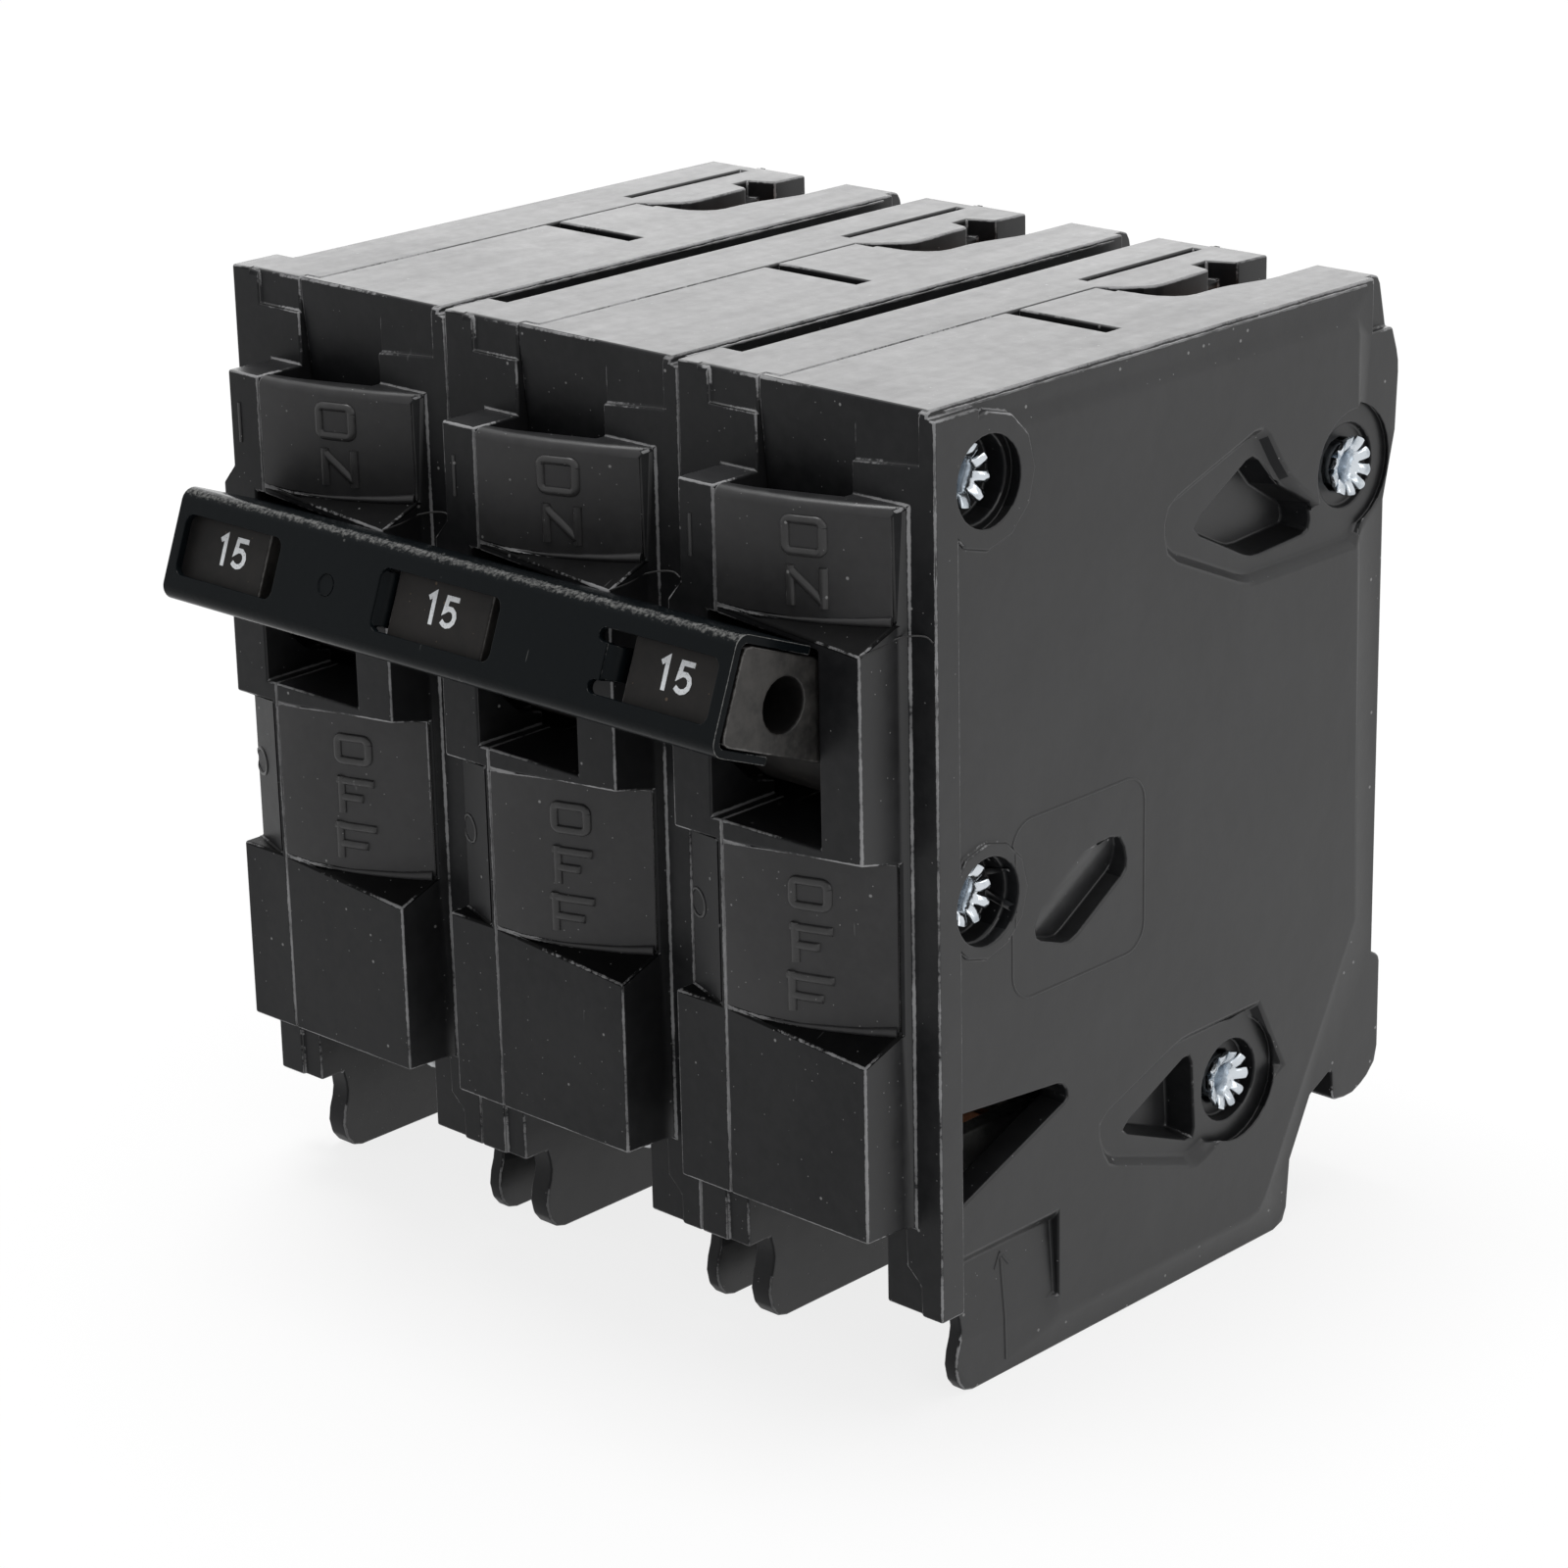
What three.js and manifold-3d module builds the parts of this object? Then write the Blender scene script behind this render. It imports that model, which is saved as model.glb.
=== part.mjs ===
// Three-pole moulded-case circuit breaker of the plug-in pattern, in millimetres, +Z up.
// It is drawn in a pole frame: X = 0 is the right face of a pole, which reaches to X = -POLE_PITCH,
// Y = 0 is the panel-front plane with +Y to the back, and Z = 0 is the top face.
import * as THREE from "three";
import { mergeVertices } from "three/addons/utils/BufferGeometryUtils.js";
import Module from "manifold-3d";

const wasm = await Module();
wasm.setup();

// ---------------------------------------------------------------- sizes
const POLE_PITCH = 25.4;
const POLES = ["left", "centre", "right"];
const CASE_DEPTH = 54.9;
const CASE_HEIGHT = 78.2;
const FIT = 0.3; // running or seating clearance between neighbouring pieces
const WALL = 2.3; // front, top and back walls of a case half
const CURVE_STEPS = 2; // segments in each rounded corner
const ROUND_STEPS = 12; // segments round a boss, pin or bore

const SEAM_X = -17.4; // parting plane between the two halves of a pole
const LEFT_FIELD_X = -23.3; // recessed left side face
const SIDE_WALL = 1.6;
const BAND_DEPTH = 0.8; // border band of the right face, below its front strip
const FIELD_DEPTH = 0.35;
const FIELD_SLOPE = 1; // width of the soft edge between the field and its band
const ISLAND_DEPTH = 1.3;
const ISLAND_SLOPE = 1; // how far the sides of a sunken island lean out
const POCKET_DEPTH = 3.9;
const RIGHT_WALL = 3; // right face to the cavity
const STRIP_WIDTH = 2.6; // flush strip along the front edge of a side face
const TOP_BAND = 3.2;

const FOOT_Z = -70.8; // lower end of the two front legs
const FLOOR_Z = -75.2; // underside of the case floor
const TAB_PLATE = 2.1; // thickness of the right wire-guide tab
const LEFT_TAB = { x0: -22.5, x1: -20.4 };
const APRON = { x0: -22.8, y0: 0.25, y1: 6.7 }; // block that joins the left leg to its tab
const ENTRY_DEPTH = 21.2; // wire entry, from the front plane
const BARRIER = 23.8; // back of the wall between the lug chamber and the cavity

const NOSE = { y: -4.7, x0: -21, slotX0: -22.4, labelX0: -22.7, x1: -3.2, top: -7.2, bottom: -63.5 };
const PAD_DROP = 3.8; // from the nose's face back to the pad's right edge
const PAD_FILLET = 2; // slope between the foot of a pad and the face below it
const ON_PAD = { top: 1, topSlant: 0, bottom: -16.2, bottomSlant: -0.087 };
const OFF_PAD = { top: -34.7, topSlant: 0.09, bottom: -48, bottomSlant: -0.086 };
const PAD_WALL = 1.3; // plastic between the ON pad and the pocket behind it
const BROW = { step: 0.35, x1: -1.6, notchX: -8, bottom: -4.6, floor: -9.2, slope: 0.7 };
const LIP = { x1: -15.9, y0: 1.2, depth: 1.3 }; // edge of the base that the cover's top laps
const SLOT = { x0: SEAM_X, x1: -7.3, top: -16.9, topSlant: -0.087, bottom: -33 };

const PIVOT = { y: 3.2, z: -25.4 }; // handle pivot
const HANDLE_TILT = 21; // degrees above and below the horizontal
const HANDLE_WIDTH = 9.5;
const HUB_RADIUS = 6.2;
const HANDLE_REACH = 17.4; // pivot to the printed face
const HANDLE_HEIGHT = 7.5;
const TIP_START = 11.6; // the tip is wider from here on
const TIP_OVERHANG = 1;
const TIE_HOLE = { reach: 11.9, radius: 2.1 };
const HANDLE_PIN = 2;

const BAR_SHEET = 0.7;
const BAR_HEIGHT = 9.1;
const BAR_TOP_FLANGE = 7.9;
const BAR_BOTTOM_FLANGE = 6;
const BAR_OVERHANG = 0.8; // past the left handle
const BAR_WINDOW = { height: 6.2, end: 11.2, middle: 13.1, margin: 1 };
const BAR_TAB = { half: 1.5, length: 3.2, inset: 0.3, relief: 0.6 }; // bent in at a window's end
const BAR_DIMPLE = { x: -50.15, z: -0.15, radius: 0.55, depth: 0.3 };

const RIVETS = [
  { name: "upper_front_rivet", y: 5.87, z: -6.19, mouth: 4.2, sink: 2, depth: 3.2 },
  { name: "upper_back_rivet", y: 50.28, z: -14.69, mouth: 3.6, sink: 0.5, depth: 1.9 },
  { name: "middle_front_rivet", y: 5.54, z: -38.27, mouth: 3.6, sink: 1.8, depth: 3 },
  { name: "lower_back_rivet", y: 36.37, z: -62.94, mouth: 3.7, sink: 1.2, depth: 2.6 },
];
const RIVET = { shank: 1.9, head: 3.1, flare: 2.5, bore: 0.9, headThickness: 1 };
const POCKET_STEPS = 30; // segments round a rivet pocket
const BOSS_WALL = 2.3; // plastic round a rivet hole

const ARM = { y: 12, z: -34, pin: 1.5, x0: -14.6, x1: -12.2 };
const CRADLE = { y: 16, z: -47, pin: 1.5, x0: -14.5, x1: -12.5, reach: 24.2 };
const ROD = { y: 14.5, z: -41.8, radius: 0.85 };
const ARMATURE = { y: 41.35, z: -57, pin: 1, height: 13.4 };
const CONTACT = { y0: 29.6, y1: 33.4, x0: -15.6, x1: -11.2, top: -18.5 };
const METAL_X = { x0: -15.6, x1: -9.4 }; // width of the strap and the bimetal
const LUG = { x0: -17.6, x1: -7.4, y0: 9.6, y1: 20, z0: -70.8, z1: -61, wall: 1.7 };
const SCREW = { x: -12.5, z: -66.6, radius: 2.6, front: 5.8, slot: 0.9 };
const JAW = { x: -10.6, front: 39.4, tip: 51.6, z0: -10.8, z1: -2.9, sheet: 0.9 };
const JAW_WALLS = { left0: -15.4, left1: -14, right0: -7.2, right1: -5.8, y0: 37, z0: -11.4 };
const PIN_SPAN = { x0: LEFT_FIELD_X + SIDE_WALL + FIT, x1: -RIGHT_WALL - FIT };

// ---------------------------------------------------------------- solids
// A closed geometry as a solid, with its shared corners merged.
function solid(geometry) {
  const bare = geometry.index ? geometry.toNonIndexed() : geometry;
  bare.deleteAttribute("normal");
  bare.deleteAttribute("uv");
  const merged = mergeVertices(bare, 1e-4);
  return new wasm.Manifold(
    new wasm.Mesh({
      numProp: 3,
      vertProperties: merged.attributes.position.array,
      triVerts: new Uint32Array(merged.index.array),
    }),
  );
}

const join = (first, ...others) => others.reduce((whole, other) => whole.add(other), first);
const cut = (first, ...tools) => tools.reduce((whole, tool) => whole.subtract(tool), first);

// A closed outline through [a, b] corners; a third number rounds that corner.
function outline(corners) {
  const shape = new THREE.Shape();
  const toward = (from, to, reach) => from.clone().lerp(to, reach / from.distanceTo(to));
  const points = corners.map(([a, b]) => new THREE.Vector2(a, b));
  points.forEach((corner, i) => {
    const radius = corners[i][2] ?? 0;
    const before = points.at(i - 1);
    const after = points[(i + 1) % points.length];
    const start = radius ? toward(corner, before, radius) : corner;
    if (i) shape.lineTo(start.x, start.y);
    else shape.moveTo(start.x, start.y);
    if (!radius) return;
    const end = toward(corner, after, radius);
    shape.quadraticCurveTo(corner.x, corner.y, end.x, end.y);
  });
  return shape;
}

// A strip of even thickness whose left edge, seen along the run, follows the given points.
function ribbon(points, thickness) {
  const run = points.map(([a, b]) => new THREE.Vector2(a, b));
  const offset = run.map((point, i) => {
    const into = point.clone().sub(run[Math.max(i - 1, 0)]);
    const out = run[Math.min(i + 1, run.length - 1)].clone().sub(point);
    const before = (i ? into : out).clone().normalize();
    const after = (i < run.length - 1 ? out : into).clone().normalize();
    const mid = before.clone().add(after).normalize();
    const scale = thickness / Math.max(mid.dot(before), 0.3);
    return new THREE.Vector2(point.x + mid.y * scale, point.y - mid.x * scale);
  });
  return new THREE.Shape([...run, ...offset.reverse()]);
}

function extrusion(shape, depth, matrix) {
  const settings = { depth, bevelEnabled: false, curveSegments: CURVE_STEPS };
  return solid(new THREE.ExtrudeGeometry(shape, settings).applyMatrix4(matrix));
}

// A recess in the right face: flat at its depth, with sides that lean out to the surface.
function sunken(shape, depth, slope) {
  const settings = {
    depth: 1,
    bevelThickness: depth,
    bevelSize: slope,
    bevelSegments: 1,
    curveSegments: CURVE_STEPS,
  };
  const turned = new THREE.Matrix4().set(0, 0, 1, 0, 1, 0, 0, 0, 0, 1, 0, 0, 0, 0, 0, 1);
  return solid(new THREE.ExtrudeGeometry(shape, settings).applyMatrix4(turned));
}

// A raised panel on the right face, with sides that slope down all round it.
function embossed(shape, x0, x1, slope) {
  const foot = 0.1;
  const settings = {
    depth: foot,
    bevelThickness: x1 - x0,
    bevelSize: slope,
    bevelSegments: 1,
    curveSegments: CURVE_STEPS,
  };
  const turned = new THREE.Matrix4().set(0, 0, 1, x0 - foot, 1, 0, 0, 0, 0, 1, 0, 0, 0, 0, 0, 1);
  return solid(new THREE.ExtrudeGeometry(shape, settings).applyMatrix4(turned));
}

// As across(), but rising by the slant for each millimetre to the right of the seam.
function slantedAcross(shape, x0, x1, slant) {
  const rise = slant * (x0 - SEAM_X);
  return extrusion(
    shape,
    x1 - x0,
    new THREE.Matrix4().set(0, 0, 1, x0, 1, 0, 0, 0, 0, 1, slant, rise, 0, 0, 0, 1),
  );
}

// Across X the shape reads (y, z), along Y it reads (x, z) and up Z it reads (x, y).
const across = (shape, x0, x1) =>
  extrusion(shape, x1 - x0, new THREE.Matrix4().set(0, 0, 1, x0, 1, 0, 0, 0, 0, 1, 0, 0, 0, 0, 0, 1));
const along = (shape, y0, y1) =>
  extrusion(shape, y1 - y0, new THREE.Matrix4().set(1, 0, 0, 0, 0, 0, -1, y1, 0, 1, 0, 0, 0, 0, 0, 1));
const upward = (shape, z0, z1) => extrusion(shape, z1 - z0, new THREE.Matrix4().makeTranslation(0, 0, z0));

function box(x0, x1, y0, y1, z0, z1) {
  const geometry = new THREE.BoxGeometry(x1 - x0, y1 - y0, z1 - z0);
  return solid(geometry.translate((x0 + x1) / 2, (y0 + y1) / 2, (z0 + z1) / 2));
}

// A pin along X, with its centre at (y, z).
function pinX(x0, x1, y, z, radius, steps = ROUND_STEPS, endRadius = radius) {
  const geometry = new THREE.CylinderGeometry(radius, endRadius, x1 - x0, steps);
  return solid(geometry.rotateZ(Math.PI / 2).translate((x0 + x1) / 2, y, z));
}

// A pin along Y, with its centre at (x, z).
function pinY(y0, y1, x, z, radius, steps = ROUND_STEPS) {
  const geometry = new THREE.CylinderGeometry(radius, radius, y1 - y0, steps);
  return solid(geometry.translate(x, (y0 + y1) / 2, z));
}

// ---------------------------------------------------------------- materials
const finish = (color, roughness, metalness = 0) =>
  new THREE.MeshStandardMaterial({ color, roughness, metalness });
const MATERIALS = {
  thermoset: finish(0x2b2b2d, 0.42),
  handle: finish(0x232325, 0.4),
  paintedSteel: finish(0x101012, 0.25, 0.1),
  zinc: finish(0xd5d9da, 0.28, 1),
  copper: finish(0x9c6248, 0.45, 1),
  silver: finish(0xc9c6be, 0.35, 1),
  steel: finish(0x8d9092, 0.4, 1),
  bimetal: finish(0xa89c86, 0.4, 1),
  braid: finish(0xb06a45, 0.6, 1),
  lug: finish(0xb9bcbc, 0.4, 1),
};

// A solid as a named mesh.
function mesh(name, body, material) {
  const made = body.getMesh();
  const geometry = new THREE.BufferGeometry();
  geometry.setAttribute("position", new THREE.BufferAttribute(made.vertProperties, made.numProp));
  geometry.setIndex(new THREE.BufferAttribute(made.triVerts, 1));
  geometry.computeVertexNormals();
  const node = new THREE.Mesh(geometry, material);
  node.name = name;
  return node;
}

// ---------------------------------------------------------------- case outlines, read as (y, z)
const sideOutline = outline([
  [0, 0, 0.6],
  [CASE_DEPTH - 0.3, 0, 0.8],
  [CASE_DEPTH + 0.7, -4.4],
  [CASE_DEPTH + 1.7, -7.2, 1],
  [CASE_DEPTH + 1.4, -12.9],
  [CASE_DEPTH, -18.4],
  [CASE_DEPTH, -57.3],
  [CASE_DEPTH + 1.1, -57.9, 0.5],
  [CASE_DEPTH + 1.1, -67.6, 1.6],
  [CASE_DEPTH - 2.2, -69.5, 1.2],
  [CASE_DEPTH - 5.1, -69.1, 0.5],
  [CASE_DEPTH - 5.3, -66.2, 0.4],
  [CASE_DEPTH - 8.1, -67.6],
  [CASE_DEPTH - 10.7, -72.5],
  [CASE_DEPTH - 11.2, -CASE_HEIGHT, 1.6],
  [3.2, -CASE_HEIGHT, 1.2],
  [2.2, -75.7, 1.2],
  [3.2, -72.7, 0.9],
  [2.7, FOOT_Z],
  [0, FOOT_Z],
]);

const fieldOutline = outline([
  [STRIP_WIDTH - 0.2, -TOP_BAND],
  [50.4, -TOP_BAND, 1.2],
  [51.6, -53.4],
  [49.7, -57.3],
  [39.6, FLOOR_Z, 1],
  [14, FLOOR_Z, 1],
  [13.3, -66.8, 1],
  [STRIP_WIDTH - 0.2, -66.5],
]);

const cavityOutline = outline([
  [11.4, -WALL],
  [CASE_DEPTH - WALL, -WALL],
  [CASE_DEPTH - WALL, -57],
  [47.6, -64.6],
  [44.2, -67.2],
  [41.9, FLOOR_Z + WALL],
  [BARRIER, FLOOR_Z + WALL],
  [BARRIER, -53.2],
  [9, -53.2],
  [9, -33.7],
  [WALL, -33.7],
  [WALL, -11.4],
  [11.4, -11.4],
]);

const upperIsland = outline([
  [27.3, -13.2, 1],
  [38.3, -9.6, 0.8],
  [41.3, -14.2, 2],
  [46.5, -18],
  [51.8, -18],
  [51.5, -20.6, 1],
  [37, -20.6, 1],
  [27.2, -16.3, 1.4],
]);

const upperPocket = outline([
  [38.4, -11.6, 0.8],
  [41.2, -14.6],
  [45.4, -17.2, 0.8],
  [45.4, -18.8, 0.6],
  [38.4, -19.2, 1],
  [31.2, -15.6, 1],
]);

const lowerIsland = outline([
  [19.5, -61, 1],
  [29.2, -57.5, 1],
  [38.6, -57.5],
  [41.5, -63],
  [31.2, -67.8, 1],
  [20.6, -64.2, 1],
]);

const lowerPocket = outline([
  [31.2, -59.3, 0.7],
  [31.7, -66.4, 0.8],
  [23.2, -62.9, 0.7],
]);

// Ramp of the strip gauge below the lug window, read as (x, z).
const gaugeRamp = outline([
  [1, -66.35],
  [-FIELD_DEPTH, -66.35],
  [-BAND_DEPTH - 0.45, -67.35],
  [-BAND_DEPTH, -73.5],
  [1, -73.5],
]);

const lugWindow = outline([
  [STRIP_WIDTH, -54.6],
  [14.6, -55.8, 0.7],
  [15.3, -57.3, 0.7],
  [STRIP_WIDTH, -62.2],
]);

// A slot with round ends between two centres.
function stadium([ay, az], [by, bz], radius) {
  const heading = Math.atan2(bz - az, by - ay);
  const end = (y, z, from) => [0, 1, 2, 3].map((i) => {
    const turn = from + (i / 3) * Math.PI;
    return [y + radius * Math.cos(turn), z + radius * Math.sin(turn)];
  });
  return outline([
    ...end(by, bz, heading - Math.PI / 2),
    ...end(ay, az, heading + Math.PI / 2),
  ]);
}

// Slanted slot that the trip rod swings in.
const rodSlot = stadium([12.6, -42.7], [20, -39.1], ROD.radius + FIT + 0.1);

// Leaf-shaped recess over the slot: it ramps down from its upper arc to its lower edge.
function leafRoom() {
  const leaf = outline([
    [11.3, -43.1, 0.8],
    [11.5, -40.4, 1.8],
    [16.6, -37.7, 2],
    [21.5, -37.3, 1.4],
    [22.2, -40.5, 0.9],
    [15.4, -44.6, 1],
  ]);
  const ramp = new THREE.Matrix4().set(-0.167, 0.3085, 1, 14.17, 1, 0, 0, 0, 0, 1, 0, 0, 0, 0, 0, 1);
  return extrusion(leaf, 6, ramp);
}

// ---------------------------------------------------------------- case halves
// What both halves share between x0 and x1: the cavity, less the rivet bosses left standing in it.
function hollow(x0, x1) {
  const bosses = RIVETS.map(({ y, z }) => pinX(x0, x1, y, z, RIVET.shank + FIT + BOSS_WALL));
  return cut(across(cavityOutline, x0, x1), ...bosses);
}

// Hub bosses round the pins of the levers, standing off a side wall.
function bearings(wallX, endX) {
  const x0 = Math.min(wallX, endX);
  const x1 = Math.max(wallX, endX);
  return [ARM, CRADLE, ARMATURE].map(({ y, z, pin }) => pinX(x0, x1, y, z, pin + FIT + 1.2));
}

const bearingHoles = (x0, x1) =>
  [ARM, CRADLE, ARMATURE].map(({ y, z, pin }) => pinX(x0, x1, y, z, pin + FIT));

const rivetHoles = (x0, x1) =>
  RIVETS.map(({ y, z }) => pinX(x0, x1, y, z, RIVET.shank + FIT));

// The chamber that the terminal lug sits in, open at the bottom and between the front legs.
function lugChamber(x0, x1) {
  const top = -55;
  return join(
    box(x0, x1, STRIP_WIDTH, ENTRY_DEPTH + 1, FOOT_Z, top),
    box(x0, x1, -1, ENTRY_DEPTH, -CASE_HEIGHT - 1, FOOT_Z + 0.01),
  );
}

// The way through the barrier that the terminal strap lies in.
const strapPassage = (x0, x1) =>
  box(x0, x1, ENTRY_DEPTH - 1, BARRIER + 0.2, FLOOR_Z + WALL, -70.4);

// The slot that the handle swings in. Its upper edge follows the foot of the ON pad.
function handleRoom(x0, x1) {
  const top = (x) => SLOT.top + SLOT.topSlant * (x - SEAM_X);
  const shape = outline([
    [x0, SLOT.bottom],
    [x1, SLOT.bottom],
    [x1, top(x1)],
    [x0, top(x0)],
  ]);
  return along(shape, NOSE.y - 1, WALL + 1);
}

// Ribs behind the magnet yoke that carry it off the back wall.
const yokeRibs = (x0, x1) =>
  join(...[-57.4, -51.8].map((z) => box(x0, x1, 48.4, CASE_DEPTH - 1, z, z + 1.2)));

// Left strip of the nose: wider beside the handle slot and the label, and sloped back beside OFF.
function baseNose() {
  const { y, x0, slotX0, labelX0, top, bottom } = NOSE;
  const slotCheek = outline([
    [SEAM_X, ON_PAD.bottom + 1],
    [x0, ON_PAD.bottom + 1],
    [slotX0, ON_PAD.bottom - 0.6],
    [slotX0, OFF_PAD.top],
    [SEAM_X, OFF_PAD.top],
  ]);
  const offSlope = new THREE.Shape([
    new THREE.Vector2(SEAM_X - 0.5, y - 1),
    new THREE.Vector2(SEAM_X - 0.5, y + 0.1),
    new THREE.Vector2(slotX0 - 1, y + 2.1),
    new THREE.Vector2(slotX0 - 1, y - 1),
  ]);
  return cut(
    join(
      box(x0, SEAM_X, y, 0.5, bottom, top),
      along(slotCheek, y, 0.5),
      box(slotX0, SEAM_X, y, 0.5, bottom, OFF_PAD.top),
      box(labelX0, SEAM_X, y, 0.5, bottom, OFF_PAD.bottom),
    ),
    upward(offSlope, OFF_PAD.bottom, OFF_PAD.top),
  );
}

function baseHalf(rodPasses) {
  const wallX = LEFT_FIELD_X + SIDE_WALL;
  const plate = across(sideOutline, LEFT_FIELD_X, SEAM_X);
  const frontStrip = box(-POLE_PITCH, LEFT_FIELD_X, 0, STRIP_WIDTH, FOOT_Z, 0);
  const topCorner = box(-POLE_PITCH, LEFT_FIELD_X, 0, 4.8, -4, 0);
  const lip = box(SEAM_X - 1, LIP.x1, LIP.y0, JAW_WALLS.y0, -LIP.depth, 0);
  const padBosses = RIVETS.map(({ y, z, mouth }) =>
    pinX(-POLE_PITCH + FIT, LEFT_FIELD_X, y, z, mouth + 0.8));
  const underCut = box(-POLE_PITCH - 1, LEFT_TAB.x0, STRIP_WIDTH, 48, -CASE_HEIGHT - 1, -66);
  const behindTab = box(LEFT_TAB.x1, SEAM_X + 1, -1, 48, -CASE_HEIGHT - 1, FLOOR_Z);
  const belowLeg = box(-POLE_PITCH - 1, LEFT_TAB.x0 - 0.01, -1, STRIP_WIDTH + 1, -CASE_HEIGHT - 1, FOOT_Z);
  const legGap = box(LEFT_TAB.x0, SEAM_X + 1, -1, STRIP_WIDTH + 1, FOOT_Z, NOSE.bottom);
  const apron = [
    box(LEFT_FIELD_X, APRON.x0, 0, APRON.y1, FOOT_Z, NOSE.bottom),
    box(APRON.x0, LEFT_TAB.x1, APRON.y0, APRON.y1, FOOT_Z, NOSE.bottom),
  ];
  const tabRoot = box(LEFT_TAB.x0, LEFT_TAB.x0 + SIDE_WALL, ENTRY_DEPTH, 43, FLOOR_Z, -65);
  const stabWall = box(SEAM_X - 0.5, JAW_WALLS.left1, JAW_WALLS.y0, CASE_DEPTH - 0.6, JAW_WALLS.z0, -1.5);
  const stabCrown = outline([
    [SEAM_X - 0.5, JAW_WALLS.y0],
    [LIP.x1, JAW_WALLS.y0],
    [-14.6, 38],
    [-12.4, 40.2, 1],
    [-12.7, 47.4, 0.5],
    [-14.9, 47.9],
    [-14.9, 49.6],
    [-12.5, 50.6],
    [-12.3, CASE_DEPTH - 0.6],
    [SEAM_X - 0.5, CASE_DEPTH - 0.6],
  ]);
  const hubRoom = pinX(-19.6, SEAM_X + 1, PIVOT.y, PIVOT.z, HUB_RADIUS + 0.6);
  const shell = cut(
    join(plate, frontStrip, topCorner, baseNose(), ...padBosses),
    hollow(wallX, SEAM_X + 1),
    underCut,
    behindTab,
    belowLeg,
    legGap,
    lugChamber(LEFT_TAB.x1, SEAM_X + 1),
    strapPassage(METAL_X.x0 - 3, SEAM_X + 1),
    handleRoom(SLOT.x0 - 1, SEAM_X + 1),
    box(-22.2, SEAM_X + 1, -1, 0.25, -2.8, 1),
  );
  const fitted = join(
    cut(shell, box(-18.6, SEAM_X + 1, JAW_WALLS.y0 + 1.4, CASE_DEPTH - WALL, JAW_WALLS.z0, 1)),
    lip,
    ...apron,
    tabRoot,
    stabWall,
    upward(stabCrown, -WALL, 0),
    box(wallX, SEAM_X, JAW_WALLS.y0, CASE_DEPTH - WALL, JAW_WALLS.z0, JAW_WALLS.z0 + 1.2),
    yokeRibs(wallX, SEAM_X),
    pinX(wallX, -19.8, PIVOT.y, PIVOT.z, HANDLE_PIN + FIT + 1.4),
    ...bearings(wallX, -19.6),
  );
  const holes = [
    hubRoom,
    pinX(wallX, SEAM_X + 1, PIVOT.y, PIVOT.z, HANDLE_PIN + FIT),
    box(JAW_WALLS.left1 - 0.01, -12, JAW_WALLS.y0 - 1, CASE_DEPTH + 3, JAW_WALLS.z0 - 1, -WALL),
    ...bearingHoles(wallX, -18),
    ...rivetHoles(-POLE_PITCH - 1, SEAM_X + 1),
    ...RIVETS.map(({ y, z }) =>
      pinX(-POLE_PITCH - 1, -POLE_PITCH + FIT + RIVET.headThickness + 0.5, y, z, RIVET.head + FIT, 20)),
  ];
  if (rodPasses) holes.push(across(rodSlot, LEFT_FIELD_X - 1, wallX + 1));
  return cut(fitted, ...holes);
}

// Room in front of one lettered finger pad. The pad falls back to the right in a curve, its ends
// follow slanted lines, and a slope brings it forward again at its foot.
function padRoom({ top, topSlant, bottom, bottomSlant }) {
  const x0 = SEAM_X - 0.01;
  const x1 = 1;
  const falls = [0, 0.2, 0.5, 0.8, 1].map((part) => {
    const x = SEAM_X + part * (NOSE.x1 - SEAM_X);
    return new THREE.Vector2(x, NOSE.y + PAD_DROP * part ** 1.7);
  });
  const curve = new THREE.Shape([
    ...falls,
    new THREE.Vector2(x1, NOSE.y + PAD_DROP * 1.06),
    new THREE.Vector2(x1, NOSE.y - 1),
    new THREE.Vector2(x0, NOSE.y - 1),
    new THREE.Vector2(x0, NOSE.y),
  ]);
  const foot = new THREE.Shape([
    new THREE.Vector2(NOSE.y - 1, bottom),
    new THREE.Vector2(NOSE.y, bottom),
    new THREE.Vector2(0, bottom + PAD_FILLET),
    new THREE.Vector2(0, 2),
    new THREE.Vector2(NOSE.y - 1, 2),
  ]);
  const head = new THREE.Shape([
    new THREE.Vector2(NOSE.y - 1, top),
    new THREE.Vector2(NOSE.y, top),
    new THREE.Vector2(0, top - PAD_FILLET / 2),
    new THREE.Vector2(0, -CASE_HEIGHT),
    new THREE.Vector2(NOSE.y - 1, -CASE_HEIGHT),
  ]);
  return upward(curve, -CASE_HEIGHT, 2)
    .intersect(slantedAcross(foot, x0 - 1, x1 + 1, bottomSlant))
    .intersect(slantedAcross(head, x0 - 1, x1 + 1, topSlant));
}

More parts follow.
